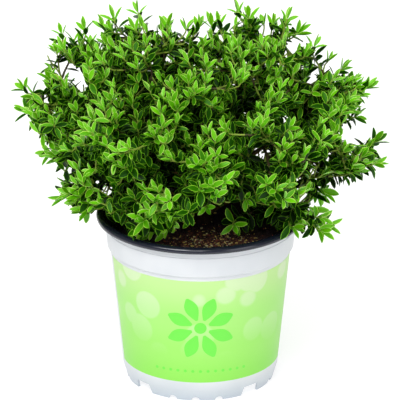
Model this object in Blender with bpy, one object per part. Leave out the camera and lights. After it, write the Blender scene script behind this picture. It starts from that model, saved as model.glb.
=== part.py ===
"""A small-leaved evergreen shrub (a hebe) growing in a plastic nursery pot.

Metres, +Z up. The origin is on the pot's axis, at the level that the pot stands on, and -Y is the
front. The pot is a white shell with a black rolled rim, filled with soil. The shrub has one short
main stem, boughs that each feed one foliage mass, and masses of twigs with paired leaves.
"""
import math
import random
from collections import namedtuple

import bmesh
import bpy
from mathutils import Matrix, Quaternion, Vector
from mathutils.bvhtree import BVHTree
from mathutils.geometry import interpolate_bezier

GAP = 0.0003  # clearance between pieces that touch on the real plant
UP = Vector((0.0, 0.0, 1.0))

# The pot's white shell: a tapered wall, an upper band that stands proud of it, and four feet
POT_SIDES = 36
FOOT_RADIUS = 0.0677
FOOT_HEIGHT = 0.0095
FOOT_SHOULDER_RADIUS = 0.0706
FOOT_SHOULDER_HEIGHT = 0.0100
BASE_THICKNESS = 0.0020
WALL_START_HEIGHT = 0.0127
WALL_RADIUS_AT_GROUND = 0.0701  # where the wall's cone would meet the ground
WALL_TAPER = 0.0985
WALL_THICKNESS = 0.0022
LEDGE_HEIGHT = 0.1289
LEDGE_CHAMFER = 0.0019
BAND_RADIUS = 0.0852
BAND_TAPER = 0.092
BAND_THICKNESS = 0.0010
SHELL_HEIGHT = 0.1542

# Openings in the shell's foot: four gaps between the feet, and three small notches in each foot
FOOT_COUNT = 4
FOOT_TURN = math.radians(-3.6)
GAP_HALF_WIDTH_LOW = 0.0102
GAP_HALF_WIDTH_HIGH = 0.0080
GAP_ROOF = 0.0004  # how far below the base plate a gap stops
NOTCH_RADIUS = 0.0037
NOTCH_STEP = math.radians(18.0)
NOTCH_ARC_STEPS = 8
CUT_INWARD = 0.0080  # how far the cutters run past the foot's wall, inward, outward and down
CUT_OUTWARD = 0.0040
CUT_BELOW = 0.0020
DRAIN_RADIUS = 0.0050
DRAIN_CENTRE_RADIUS = 0.0500
DRAIN_SIDES = 10
DRAIN_OVERRUN = 0.0030

# The black rim: a rolled lip with a lining that reaches down inside the shell
RIM_RADIUS = 0.0950
RIM_TOP = 0.1600
RIM_UNDERSIDE = 0.1545
RIM_SPRING = 0.1560  # the level at which the roll starts to curve over
RIM_INNER_RADIUS = 0.0873
RIM_LIP_SET_BACK = 0.0010  # the roll's lower edge turns in by this much
ROLL_ANGLES = (0.0, 45.0, 90.0, 135.0, 180.0)
LINING_THICKNESS = 0.0010
LINING_BOTTOM = 0.1310
LINING_TOP = 0.1525

# The soil that fills the pot
SOIL_TOP = 0.1470
SOIL_BUMP = 0.0016
SOIL_EDGE_DROP = 0.0004
SOIL_SIDES = 18
SOIL_RINGS = (0.020, 0.036, 0.052, 0.068)  # the innermost stays level, round the stem's foot

# The main stem: a short trunk with a flared foot, leaning slightly to the front
STEM_FOOT = Vector((0.003, 0.006, SOIL_TOP + GAP))
STEM_TOP = Vector((0.000, -0.006, 0.2020))
STEM_FLARE_RADIUS = 0.0105
STEM_RADIUS = 0.0062
STEM_TOP_RADIUS = 0.0032
STEM_SIDES = 9
STEM_BOW = Vector((0.0025, 0.001, 0.0))  # how far the middle stands off the straight line
STEM_RING_SHARES = (0.0, 0.06, 0.16, 0.35, 0.6, 0.8, 1.0)
FLARE_DECAY = 14.0

# The boughs
BOUGH_SIDES = 6
BOUGH_TIP_RADIUS = 0.0013
BOUGH_RADIUS_FROM_STEM = 0.0026
BOUGH_RADIUS_FROM_BOUGH = 0.0019
BOUGH_POINTS = 5
GATE_SHARE = 0.44  # a bough ends at this share of its mass's reach
CURVE_PULL = 0.36  # length of a curve's handles, as a share of the distance between its ends
BOUGH_FOLLOW = 0.35  # how much a bough sets off along its carrier rather than straight to its gate
BOUGH_LIFT = 0.25  # how much a bough turns up towards its tip

# The crown: directions are taken from its heart, and each mass keeps the sector nearest its own
HEART = Vector((0.0, 0.0, 0.1750))
SECTOR_MARGIN = 0.0003
REACH_BLEND = math.radians(17.0)
LOBE_DEPTH = 0.07
LOBE_HALF_WIDTH = math.radians(25.0)
FRONT_UNDERSIDE = math.radians(15.0)
SIDE_UNDERSIDE = math.radians(-16.0)
UNDERSIDE_SHARPNESS = 3
SHOOT_TIPS = 145
TIP_SPREAD = 1.32  # tips are spread from straight up (0) to this much of the way to straight down (2)
MIDDLE_KEPT_CLEAR = math.radians(8.0)  # a mass's own tip has no other within this angle
POT_CLEARANCE = 0.0008
GOLDEN_ANGLE = math.pi * (3.0 - math.sqrt(5.0))

# The core of each mass: the crown is too dense there to be seen through
CORE_SIDES = 6
CORE_SHARES = (0.48, 0.54, 0.66, 0.71)  # its near end, two rings and its far end, as shares of reach
CORE_RING_WIDTHS = (0.75, 1.0)
CORE_WIDEST = 22  # degrees off the mass's middle
CORE_MARGIN = 0.0025
CORE_SIZES = (1.0, 0.85, 0.70, 0.55)  # widths tried until one is clear of the limbs and the pot

# Twigs and leaves, larger than life so that few of them fill the crown
TWIG_RADIUS = 0.0016
TWIG_TIP_RADIUS = 0.0013
TWIG_POINTS = 3
TWIG_SIDES = 3
TWIG_LIFT = 0.30  # how much a twig turns up towards its tip
TWIG_AIM = 1.4  # how much a twig sets off towards its tip rather than along its carrier
TURN_COST = 0.8  # how much a sharp turn counts against a place that a twig could spring from
TIP_SHORTFALL = (0.93, 1.0)  # a twig's reach as a share of the crown's
MASS_STEM_RADIUS = 0.0018
LEAF_LENGTH = 0.0280
LEAF_WIDTH = 0.0122
LEAF_ROOT_WIDTH = 0.0009
LEAF_ROOT_THICKNESS = 0.0008
LEAF_LIFT = 0.0007
LEAF_WIDEST = 0.52
LEAF_SET_OFF = 0.0002  # a leaf's root stands this far off its twig's axis
LEAF_SIZES = (0.90, 1.05)
LEAF_SWAY = 0.10  # radians that a leaf opens more or less than its pair's angle, at the first try
LEAF_SWING = 0.12  # radians that a leaf may swing round its twig, for each try after the first
LEAF_SHRINK = 0.06  # how much shorter a leaf is for each try after the first
TIP_SHARE = 0.95  # a twig ends this share of a leaf's length inside the crown's reach
BUD_BACK = 0.0010
LAST_PAIR_SHARE = 0.85  # no pair is further back than this share of its twig
FIRST_PAIR_BACK = 0.0025
PAIR_SPACING = 0.0110
MASS_STEM_STRAIGHT = 0.004  # a mass's stem goes straight on from its bough this far
PAIR_OPENINGS = tuple(math.radians(angle) for angle in (40.0, 56.0, 68.0))
LEAF_TRIES = 4

Mass = namedtuple("Mass", "name bearing rise reach carrier share")

# Each mass: the bearing of its sector's middle (degrees from the front, turning to the right), its
# rise above level (degrees), its reach from the heart (metres), what its bough springs from, and
# how far along that. A bough has its mass's name.
MASSES = (
    Mass("top_front", 8, 74, 0.162, None, 1.0),
    Mass("top_left", 232, 66, 0.180, "upper_left", 0.45),
    Mass("top_right", 134, 60, 0.186, "upper_right", 0.45),
    Mass("upper_left", 254, 38, 0.203, "main_stem", 0.86),
    Mass("upper_right", 104, 35, 0.188, "main_stem", 0.74),
    Mass("upper_front_left", 318, 42, 0.178, "main_stem", 0.66),
    Mass("upper_front_right", 40, 40, 0.176, "main_stem", 0.50),
    Mass("upper_back_left", 208, 33, 0.182, "main_stem", 0.58),
    Mass("upper_back_right", 158, 31, 0.182, "main_stem", 0.40),
    Mass("left", 272, 17, 0.186, "main_stem", 0.32),
    Mass("right", 88, 11, 0.176, "main_stem", 0.24),
    Mass("front", 0, 24, 0.177, "upper_front_right", 0.40),
    Mass("low_left", 290, 2, 0.146, "left", 0.42),
    Mass("low_front_left", 331, 8, 0.122, "upper_front_left", 0.30),
    Mass("low_front_right", 60, 0, 0.140, "right", 0.42),
    Mass("low_back_left", 236, 4, 0.154, "left", 0.55),
    Mass("low_back", 187, 3, 0.164, "upper_back_left", 0.36),
    Mass("low_back_right", 133, 3, 0.156, "upper_back_right", 0.36),
)


def bearing_vector(bearing, rise):
    """The unit vector at a bearing from the front and a rise above level, both in radians."""
    level = math.cos(rise)
    return Vector((level * math.sin(bearing), -level * math.cos(bearing), math.sin(rise)))


DIRECTIONS = {m.name: bearing_vector(math.radians(m.bearing), math.radians(m.rise)) for m in MASSES}


def clear_scene():
    for obj in list(bpy.data.objects):
        bpy.data.objects.remove(obj, do_unlink=True)


def make_material(name, colour, roughness, metallic=0.0):
    material = bpy.data.materials.new(name)
    material.use_nodes = True
    shader = material.node_tree.nodes["Principled BSDF"]
    shader.inputs["Base Color"].default_value = (*colour, 1.0)
    shader.inputs["Roughness"].default_value = roughness
    shader.inputs["Metallic"].default_value = metallic
    material.diffuse_color = (*colour, 1.0)
    return material


def add_object(name, vertices, faces, material=None):
    mesh = bpy.data.meshes.new(name)
    mesh.from_pydata([tuple(v) for v in vertices], [], faces)
    work = bmesh.new()
    work.from_mesh(mesh)
    bmesh.ops.recalc_face_normals(work, faces=work.faces)
    work.to_mesh(mesh)
    work.free()
    obj = bpy.data.objects.new(name, mesh)
    bpy.context.scene.collection.objects.link(obj)
    if material:
        mesh.materials.append(material)
    return obj


def ring_faces(first, second, count):
    """Quads between two rings of vertices that start at the given indices."""
    return [
        (first + k, first + (k + 1) % count, second + (k + 1) % count, second + k)
        for k in range(count)
    ]


def fan_faces(pole, ring, count):
    return [(pole, ring + k, ring + (k + 1) % count) for k in range(count)]


def stacked_rings(rings):
    """Vertices and faces of a closed body whose skin joins one ring of points to the next."""
    sides = len(rings[0])
    last = (len(rings) - 1) * sides
    faces = [tuple(range(sides - 1, -1, -1)), tuple(range(last, last + sides))]
    for k in range(len(rings) - 1):
        faces += ring_faces(k * sides, (k + 1) * sides, sides)
    return [point for ring in rings for point in ring], faces


def turned_shape(profile, sides):
    """Vertices and faces turned round the pot's axis from a (radius, height) outline.

    The outline closes on itself, unless its first and last points lie on the axis.
    """
    vertices = []
    starts = []
    for radius, height in profile:
        starts.append(len(vertices))
        if radius == 0.0:
            vertices.append((0.0, 0.0, height))
            continue
        for k in range(sides):
            turn = 2.0 * math.pi * k / sides
            vertices.append((radius * math.sin(turn), -radius * math.cos(turn), height))
    faces = []
    on_axis = profile[0][0] == 0.0
    pairs = list(zip(range(len(profile)), range(1, len(profile))))
    if not on_axis:
        pairs.append((len(profile) - 1, 0))
    for a, b in pairs:
        if profile[a][0] == 0.0:
            faces += fan_faces(starts[a], starts[b], sides)
        elif profile[b][0] == 0.0:
            faces += fan_faces(starts[b], starts[a], sides)
        else:
            faces += ring_faces(starts[a], starts[b], sides)
    return vertices, faces


def turned(name, profile, sides, material):
    obj = add_object(name, *turned_shape(profile, sides), material)
    obj.data.shade_smooth()
    obj.data.set_sharp_from_angle(angle=math.radians(30.0))
    return obj


def boolean_with(obj, others, operation, solver="EXACT"):
    """Join or cut the object with a list of others, apply it, and remove the others."""
    tools = bpy.data.collections.new("tools")
    bpy.context.scene.collection.children.link(tools)
    for other in others:
        for holder in list(other.users_collection):
            holder.objects.unlink(other)
        tools.objects.link(other)
    modifier = obj.modifiers.new("join", "BOOLEAN")
    modifier.operand_type = "COLLECTION"
    modifier.collection = tools
    modifier.operation = operation
    modifier.solver = solver
    graph = bpy.context.evaluated_depsgraph_get()
    result = bpy.data.meshes.new_from_object(obj.evaluated_get(graph))
    obj.modifiers.remove(modifier)
    old = obj.data
    obj.data = result
    bpy.data.meshes.remove(old)
    result.name = obj.name
    for other in others:
        bpy.data.objects.remove(other, do_unlink=True)
    bpy.data.collections.remove(tools)
    return obj


def wall_radius(height):
    return WALL_RADIUS_AT_GROUND + WALL_TAPER * height


def band_radius(height):
    return BAND_RADIUS + BAND_TAPER * (height - LEDGE_HEIGHT)


def lining_outer_radius(height):
    return band_radius(height) - BAND_THICKNESS - GAP


def lining_inner_radius(height):
    return lining_outer_radius(height) - LINING_THICKNESS


def foot_cutter(outline, turn):
    """A cutter through the foot's wall: an outline of (across, up) points, at a bearing."""
    rotation = Matrix.Rotation(turn - math.pi / 2.0, 4, "Z")
    rings = [
        [rotation @ Vector((radius, across, up)) for across, up in outline]
        for radius in (FOOT_RADIUS - CUT_INWARD, FOOT_SHOULDER_RADIUS + CUT_OUTWARD)
    ]
    return add_object("foot_cutter", *stacked_rings(rings))


def foot_cutters():
    """Cutters for the gaps between the feet and for the small notches in them."""
    gap_outline = (
        (-GAP_HALF_WIDTH_LOW, -CUT_BELOW),
        (GAP_HALF_WIDTH_LOW, -CUT_BELOW),
        (GAP_HALF_WIDTH_HIGH, FOOT_HEIGHT - GAP_ROOF),
        (-GAP_HALF_WIDTH_HIGH, FOOT_HEIGHT - GAP_ROOF),
    )
    notch_outline = [(NOTCH_RADIUS, -CUT_BELOW)]
    for k in range(NOTCH_ARC_STEPS + 1):
        turn = math.pi * k / NOTCH_ARC_STEPS
        notch_outline.append((NOTCH_RADIUS * math.cos(turn), NOTCH_RADIUS * math.sin(turn)))
    notch_outline.append((-NOTCH_RADIUS, -CUT_BELOW))
    cutters = []
    for foot in range(FOOT_COUNT):
        middle = FOOT_TURN + foot * 2.0 * math.pi / FOOT_COUNT
        cutters.append(foot_cutter(gap_outline, middle + math.pi / FOOT_COUNT))
        for notch in (-1, 0, 1):
            cutters.append(foot_cutter(notch_outline, middle + notch * NOTCH_STEP))
    return cutters


def drain_cutters():
    """Upright cylinders for the drain holes in the base, one behind each gap between the feet."""
    cutters = []
    for hole in range(FOOT_COUNT):
        turn = FOOT_TURN + (hole + 0.5) * 2.0 * math.pi / FOOT_COUNT
        centre = DRAIN_CENTRE_RADIUS * bearing_vector(turn, 0.0)
        rings = []
        for height in (FOOT_HEIGHT - DRAIN_OVERRUN, FOOT_HEIGHT + BASE_THICKNESS + DRAIN_OVERRUN):
            spins = [2.0 * math.pi * k / DRAIN_SIDES for k in range(DRAIN_SIDES)]
            rings.append([
                centre + DRAIN_RADIUS * bearing_vector(spin, 0.0) + UP * height for spin in spins
            ])
        cutters.append(add_object("drain_cutter", *stacked_rings(rings)))
    return cutters


def make_shell(material):
    """The white shell: base plate, feet, tapered wall and the upper band above the ledge."""
    base_top = FOOT_HEIGHT + BASE_THICKNESS
    pocket_height = LINING_BOTTOM - GAP
    profile = [
        (0.0, FOOT_HEIGHT),
        (FOOT_SHOULDER_RADIUS - WALL_THICKNESS, FOOT_HEIGHT),
        (FOOT_RADIUS - WALL_THICKNESS, 0.0),
        (FOOT_RADIUS, 0.0),
        (FOOT_SHOULDER_RADIUS, FOOT_SHOULDER_HEIGHT),
        (wall_radius(WALL_START_HEIGHT), WALL_START_HEIGHT),
        (wall_radius(LEDGE_HEIGHT - LEDGE_CHAMFER), LEDGE_HEIGHT - LEDGE_CHAMFER),
        (BAND_RADIUS, LEDGE_HEIGHT),
        (band_radius(SHELL_HEIGHT), SHELL_HEIGHT),
        (band_radius(SHELL_HEIGHT) - BAND_THICKNESS, SHELL_HEIGHT),
        (band_radius(pocket_height) - BAND_THICKNESS, pocket_height),
        (wall_radius(pocket_height) - WALL_THICKNESS, pocket_height),
        (wall_radius(base_top) - WALL_THICKNESS, base_top),
        (0.0, base_top),
    ]
    shell = turned("pot_shell", profile, POT_SIDES, material)
    boolean_with(shell, foot_cutters() + drain_cutters(), "DIFFERENCE")
    shell.data.shade_smooth()
    shell.data.set_sharp_from_angle(angle=math.radians(30.0))
    return shell


def make_rim(material):
    """The black rolled rim, with the lining that runs down inside the band."""
    bulge = (RIM_RADIUS - RIM_INNER_RADIUS) / 2.0
    middle = (RIM_RADIUS + RIM_INNER_RADIUS) / 2.0
    rolled = [
        (middle + bulge * math.cos(turn), RIM_SPRING + (RIM_TOP - RIM_SPRING) * math.sin(turn))
        for turn in map(math.radians, ROLL_ANGLES)
    ]
    profile = [
        (lining_outer_radius(LINING_BOTTOM), LINING_BOTTOM),
        (lining_outer_radius(RIM_UNDERSIDE), RIM_UNDERSIDE),
        (RIM_RADIUS - RIM_LIP_SET_BACK, RIM_UNDERSIDE),
        *rolled,
        (lining_inner_radius(LINING_TOP), LINING_TOP),
        (lining_inner_radius(LINING_BOTTOM), LINING_BOTTOM),
    ]
    return turned("pot_rim", profile, POT_SIDES, material)


def make_soil(material):
    """The soil: it fills the shell and the lining, and its top is uneven except under the stem."""
    rng = random.Random(4)
    low = FOOT_HEIGHT + BASE_THICKNESS + GAP
    edge_height = SOIL_TOP - SOIL_EDGE_DROP
    profile = [
        (0.0, low),
        (wall_radius(low) - WALL_THICKNESS - GAP, low),
        (wall_radius(LINING_BOTTOM - GAP) - WALL_THICKNESS - GAP, LINING_BOTTOM),
        (lining_inner_radius(LINING_BOTTOM) - GAP, LINING_BOTTOM),
        (lining_inner_radius(edge_height) - GAP, edge_height),
        *[(radius, SOIL_TOP) for radius in reversed(SOIL_RINGS)],
        (0.0, SOIL_TOP),
    ]
    soil = turned("soil", profile, SOIL_SIDES, material)
    for vertex in soil.data.vertices:
        across = math.hypot(vertex.co.x, vertex.co.y)
        on_top = vertex.co.z > SOIL_TOP - SOIL_EDGE_DROP / 2.0
        if on_top and across > (SOIL_RINGS[0] + SOIL_RINGS[1]) / 2.0:
            vertex.co.z += rng.uniform(-SOIL_BUMP, SOIL_BUMP)
    return soil


def smooth_path(start, leaving, end, arriving, count):
    """Points along a curve that leaves and arrives in the given directions."""
    pull = (end - start).length * CURVE_PULL
    return interpolate_bezier(start, start + leaving * pull, end - arriving * pull, end, count)


def path_directions(points):
    """The direction of travel at each point of a path."""
    last = len(points) - 1
    return [
        (points[min(k + 1, last)] - points[max(k - 1, 0)]).normalized()
        for k in range(len(points))
    ]


def path_sides(points):
    """A direction square to the path at each of its points, carried along without twist."""
    directions = path_directions(points)
    sides = [directions[0].orthogonal().normalized()]
    for before, after in zip(directions, directions[1:]):
        sides.append(before.rotation_difference(after) @ sides[-1])
    return sides


def tube(points, radii, sides):
    """Vertices and faces of a closed tube through the points, with a radius at each."""
    rings = []
    for point, radius, along, side in zip(points, radii, path_directions(points), path_sides(points)):
        turns = [Quaternion(along, 2.0 * math.pi * n / sides) for n in range(sides)]
        rings.append([point + (turn @ side) * radius for turn in turns])
    return stacked_rings(rings)


def tapered(first, last, count):
    return [first + (last - first) * k / (count - 1) for k in range(count)]


def point_along(points, share):
    """The place on a path at a share of its points, and its direction there."""
    place = share * (len(points) - 1)
    k = min(int(place), len(points) - 2)
    return points[k].lerp(points[k + 1], place - k), (points[k + 1] - points[k]).normalized()


def stem_path():
    """Points up the middle of the main stem, closest together in its flared foot."""
    middle = STEM_FOOT.lerp(STEM_TOP, 0.5) + STEM_BOW
    points = []
    for share in STEM_RING_SHARES:
        low = STEM_FOOT.lerp(middle, share)
        points.append(low.lerp(middle.lerp(STEM_TOP, share), share))
    return points


def stem_radii(points):
    radii = []
    for point in points:
        share = (point.z - STEM_FOOT.z) / (STEM_TOP.z - STEM_FOOT.z)
        flare = (STEM_FLARE_RADIUS - STEM_RADIUS) * math.exp(-share * FLARE_DECAY)
        radii.append(STEM_RADIUS + (STEM_TOP_RADIUS - STEM_RADIUS) * share + flare)
    return radii


def stem_shape(growth=0.0):
    """Vertices and faces of the main stem, all its rings level, or of one that is a little fatter."""
    points = stem_path()
    grow = growth / math.cos(math.pi / STEM_SIDES)
    rings = []
    for point, radius in zip(points, stem_radii(points)):
        spins = [2.0 * math.pi * n / STEM_SIDES for n in range(STEM_SIDES)]
        rings.append([point + bearing_vector(spin, 0.0) * (radius + grow) for spin in spins])
    return stacked_rings(rings)


def bough_paths():
    """The path and the two end radii of the main stem and of each bough, by name."""
    stem = stem_path()
    paths = {"main_stem": (stem, STEM_RADIUS, STEM_TOP_RADIUS)}
    ready = sorted((m for m in MASSES if m.carrier), key=lambda m: m.carrier != "main_stem")
    for mass in ready:
        outward = DIRECTIONS[mass.name]
        gate = HEART + outward * mass.reach * GATE_SHARE
        start, carrier_direction = point_along(paths[mass.carrier][0], mass.share)
        leaving = ((gate - start).normalized() + carrier_direction * BOUGH_FOLLOW).normalized()
        arriving = (outward + UP * BOUGH_LIFT).normalized()
        points = smooth_path(start, leaving, gate, arriving, BOUGH_POINTS)
        from_stem = mass.carrier == "main_stem"
        radius = BOUGH_RADIUS_FROM_STEM if from_stem else BOUGH_RADIUS_FROM_BOUGH
        paths[mass.name] = (points, radius, BOUGH_TIP_RADIUS)
    return paths


def bough_shape(path, growth=0.0):
    """Vertices and faces of a bough, or of one that is a little fatter."""
    points, first_radius, last_radius = path
    grow = growth / math.cos(math.pi / BOUGH_SIDES)
    radii = [radius + grow for radius in tapered(first_radius, last_radius, len(points))]
    return tube(points, radii, BOUGH_SIDES)


def grown_limb(name, paths):
    """The stem or a bough, grown by the gap that other pieces keep to it."""
    return stem_shape(GAP) if name == "main_stem" else bough_shape(paths[name], GAP)


def make_bough(mass, paths, material):
    """One tapering limb, from 0.3 mm off what carries it to the gate of its mass."""
    bough = add_object("bough_" + mass.name, *bough_shape(paths[mass.name]), material)
    carrier = add_object("carrier", *grown_limb(mass.carrier, paths))
    boolean_with(bough, [carrier], "DIFFERENCE")
    return keep_largest(bough)


def keep_largest(obj):
    """Drop loose scraps and the walls of sealed hollows: only the largest shell of faces stays."""
    work = bmesh.new()
    work.from_mesh(obj.data)
    left = set(work.faces)
    shells = []
    while left:
        front = [left.pop()]
        shell = []
        while front:
            face = front.pop()
            shell.append(face)
            near = {other for edge in face.edges for other in edge.link_faces} & left
            left -= near
            front += near
        shells.append(shell)
    shells.sort(key=len)
    for shell in shells[:-1]:
        bmesh.ops.delete(work, geom=shell, context="FACES")
    work.to_mesh(obj.data)
    work.free()
    return obj


def direction_gap(direction, mass):
    return direction.angle(DIRECTIONS[mass.name])


def nearest_mass(direction):
    return min(MASSES, key=lambda mass: direction_gap(direction, mass))


def crown_reach(direction):
    """How far leaf tips reach in a direction: a blend of the masses' reach, lobed round each."""
    weights = [math.exp(-((direction_gap(direction, m) / REACH_BLEND) ** 2)) for m in MASSES]
    blend = sum(w * m.reach for w, m in zip(weights, MASSES)) / sum(weights)
    off_middle = direction_gap(direction, nearest_mass(direction)) / LOBE_HALF_WIDTH
    return blend * (1.0 - LOBE_DEPTH * off_middle**2)


def underside_rise(direction):
    """The lowest rise of the crown: drooping at the sides, lifted at the front to show the soil."""
    frontward = max(0.0, -direction.y / max(1e-6, math.hypot(direction.x, direction.y)))
    lift = frontward**UNDERSIDE_SHARPNESS
    return SIDE_UNDERSIDE + (FRONT_UNDERSIDE - SIDE_UNDERSIDE) * lift


def shoot_tips():
    """Directions of the crown's shoot tips, spread evenly over it, listed by mass."""
    by_mass = {m.name: [DIRECTIONS[m.name]] for m in MASSES}
    for k in range(SHOOT_TIPS):
        up = 1.0 - (k + 0.5) * TIP_SPREAD / SHOOT_TIPS
        level = math.sqrt(1.0 - up * up)
        turn = k * GOLDEN_ANGLE
        direction = Vector((level * math.cos(turn), level * math.sin(turn), up))
        if math.asin(up) < underside_rise(direction):
            continue
        mass = nearest_mass(direction)
        if direction_gap(direction, mass) > MIDDLE_KEPT_CLEAR:
            by_mass[mass.name].append(direction)
    return by_mass


def in_sector(point, mass, margin):
    """True where a point is in the sector of directions nearest this mass's own."""
    offset = point - HEART
    own = DIRECTIONS[mass.name]
    return all(
        offset.dot((DIRECTIONS[m.name] - own).normalized()) < -margin
        for m in MASSES
        if m is not mass
    )


def clear_of_pot(point):
    """True above the rim, outside it, or inside it and above the soil."""
    across = math.hypot(point.x, point.y)
    if point.z > RIM_TOP + POT_CLEARANCE or across > RIM_RADIUS + POT_CLEARANCE:
        return True
    return across < RIM_INNER_RADIUS - POT_CLEARANCE and point.z > SOIL_TOP + SOIL_BUMP


def pot_tree():
    """A search tree of the pot and its soil, grown by the room that foliage leaves round them."""
    inner = RIM_INNER_RADIUS - 2.0 * POT_CLEARANCE
    outer = RIM_RADIUS + POT_CLEARANCE
    profile = (
        (0.0, SOIL_TOP + SOIL_BUMP + POT_CLEARANCE),
        (inner, SOIL_TOP + SOIL_BUMP + POT_CLEARANCE),
        (inner, RIM_TOP + POT_CLEARANCE),
        (outer, RIM_TOP + POT_CLEARANCE),
        (outer, 0.0),
        (0.0, 0.0),
    )
    return BVHTree.FromPolygons(*turned_shape(profile, POT_SIDES))


def limb_trees(paths):
    """Search trees of the stem and of every bough, each grown by the gap that foliage keeps to it."""
    return [BVHTree.FromPolygons(*grown_limb(name, paths)) for name in paths]


def crosses(piece, trees):
    """True where a piece's surface meets any of the trees."""
    tree = BVHTree.FromPolygons(*piece)
    return any(tree.overlap(other) for other in trees)


def core_edge(mass, side):
    """How far off the mass's middle its core may reach on one side, in radians."""
    middle = DIRECTIONS[mass.name]
    for degrees in range(CORE_WIDEST, 0, -1):
        angle = math.radians(degrees)
        direction = middle * math.cos(angle) + side * math.sin(angle)
        ends = [HEART + direction * crown_reach(direction) * share for share in CORE_SHARES[1:3]]
        if all(in_sector(end, mass, CORE_MARGIN) and clear_of_pot(end) for end in ends):
            return angle
    return 0.0


def core_shape(mass, limbs):
    """Vertices and faces of the mass's core, as wide as its sector, the limbs and the pot allow."""
    middle = DIRECTIONS[mass.name]
    first_side = middle.orthogonal().normalized()
    spins = [2.0 * math.pi * n / CORE_SIDES for n in range(CORE_SIDES)]
    sides = [Quaternion(middle, spin) @ first_side for spin in spins]
    edges = [core_edge(mass, side) for side in sides]
    near, *ring_shares, far = CORE_SHARES
    for size in CORE_SIZES:
        rings = []
        for share, width in zip(ring_shares, CORE_RING_WIDTHS):
            ring = []
            for side, edge in zip(sides, edges):
                angle = edge * width * size
                direction = middle * math.cos(angle) + side * math.sin(angle)
                ring.append(HEART + direction * crown_reach(direction) * share)
            rings.append(ring)
        vertices, faces = stacked_rings(rings)
        poles = len(vertices)
        vertices += [HEART + middle * mass.reach * share for share in (near, far)]
        faces = faces[2:] + fan_faces(poles, 0, CORE_SIDES)
        faces += fan_faces(poles + 1, poles - CORE_SIDES, CORE_SIDES)
        if not crosses((vertices, faces), limbs):
            return vertices, faces
    return None


def hidden_by(core_tree, point):
    """True where a core lies between the point and the crown's outside."""
    return core_tree is not None and core_tree.ray_cast(point, (point - HEART).normalized())[0]


def twig_root(twigs, target):
    """The place on the twigs so far from which a new twig reaches its target most naturally."""
    best = None
    for points in twigs:
        directions = path_directions(points)
        for point, along in list(zip(points, directions))[:-1]:
            aim = target - point
            cost = aim.length * (1.0 + TURN_COST * (1.0 - aim.normalized().dot(along)))
            if best is None or cost < best[0]:
                best = (cost, point, along)
    return best[1], best[2]


def leaf_solid(root, along, upper, length):
    """A leaf of eight faces: a sunk root, the widest points half way, and the tip."""
    across = along.cross(upper).normalized()
    upper = across.cross(along).normalized()
    middle = root + along * length * LEAF_WIDEST + upper * LEAF_LIFT
    vertices = [
        root + across * LEAF_ROOT_WIDTH / 2.0 + upper * LEAF_ROOT_THICKNESS / 2.0,
        root - across * LEAF_ROOT_WIDTH / 2.0 + upper * LEAF_ROOT_THICKNESS / 2.0,
        root - upper * LEAF_ROOT_THICKNESS / 2.0,
        middle + across * LEAF_WIDTH / 2.0,
        middle - across * LEAF_WIDTH / 2.0,
        root + along * length,
    ]
    faces = [
        (0, 1, 2),
        (0, 3, 4),
        (0, 4, 1),
        (3, 5, 4),
        (2, 1, 4),
        (2, 4, 5),
        (2, 5, 3),
        (2, 3, 0),
    ]
    return vertices, faces


def leaf_places(points):
    """Root, direction, outward side and opening of each leaf of a twig: a bud, then crossed pairs."""
    total = sum((b - a).length for a, b in zip(points, points[1:]))
    tip_along = (points[-1] - points[-2]).normalized()
    side = path_sides(points)[-1]
    bud_side = Quaternion(tip_along, math.pi / 4.0) @ side
    places = [(points[-1] - tip_along * BUD_BACK, tip_along, bud_side, 0.0)]
    for pair, opening in enumerate(PAIR_OPENINGS):
        back = FIRST_PAIR_BACK + pair * PAIR_SPACING
        if back > total * LAST_PAIR_SHARE:
            break
        place, along = point_along(points, 1.0 - back / total)
        for half in (0.0, math.pi):
            outward = Quaternion(along, (pair + 0.5) * math.pi / 2.0 + half) @ side
            outward = (outward - along * outward.dot(along)).normalized()
            places.append((place, along, outward, opening))
    return places


def grow_leaves(points, mass, core_tree, taken, limbs, rng):
    """The leaves of one twig, each kept in its mass's sector and clear of all that is there."""
    leaves = []
    for place, along, outward, opening in leaf_places(points):
        for attempt in range(LEAF_TRIES):
            angle = opening + rng.uniform(-LEAF_SWAY, LEAF_SWAY) * (1 + attempt)
            swing = rng.uniform(-LEAF_SWING, LEAF_SWING) * attempt
            aim = Quaternion(along, swing) @ outward
            leaf_along = along * math.cos(angle) + aim * math.sin(angle)
            upper = along * math.sin(angle) - aim * math.cos(angle)
            length = LEAF_LENGTH * rng.uniform(*LEAF_SIZES) * (1.0 - LEAF_SHRINK * attempt)
            leaf = leaf_solid(place + leaf_along * LEAF_SET_OFF, leaf_along, upper, length)
            if hidden_by(core_tree, leaf[0][-1]):
                break
            inside = all(in_sector(v, mass, SECTOR_MARGIN) and clear_of_pot(v) for v in leaf[0])
            if inside and not crosses(leaf, taken + limbs):
                leaves.append(leaf)
                taken.append(BVHTree.FromPolygons(*leaf))
                break
    return leaves


def mass_stem(mass, end, growing, paths):
    """The stem of a mass: it goes straight on from its bough, or up from the main stem's top."""
    limb = paths[mass.name if mass.carrier else "main_stem"][0]
    arriving = (limb[-1] - limb[-2]).normalized() if mass.carrier else UP
    start = limb[-1] + arriving * GAP
    straight = start + arriving * MASS_STEM_STRAIGHT
    return [start] + smooth_path(straight, arriving, end, growing, TWIG_POINTS)


def side_twig(carriers, end, growing):
    """A twig that springs from one of the carriers and ends at a shoot's tip."""
    root, carrier_direction = twig_root(carriers, end)
    leaving = (carrier_direction + (end - root).normalized() * TWIG_AIM).normalized()
    return smooth_path(root, leaving, end, growing, TWIG_POINTS)


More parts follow.
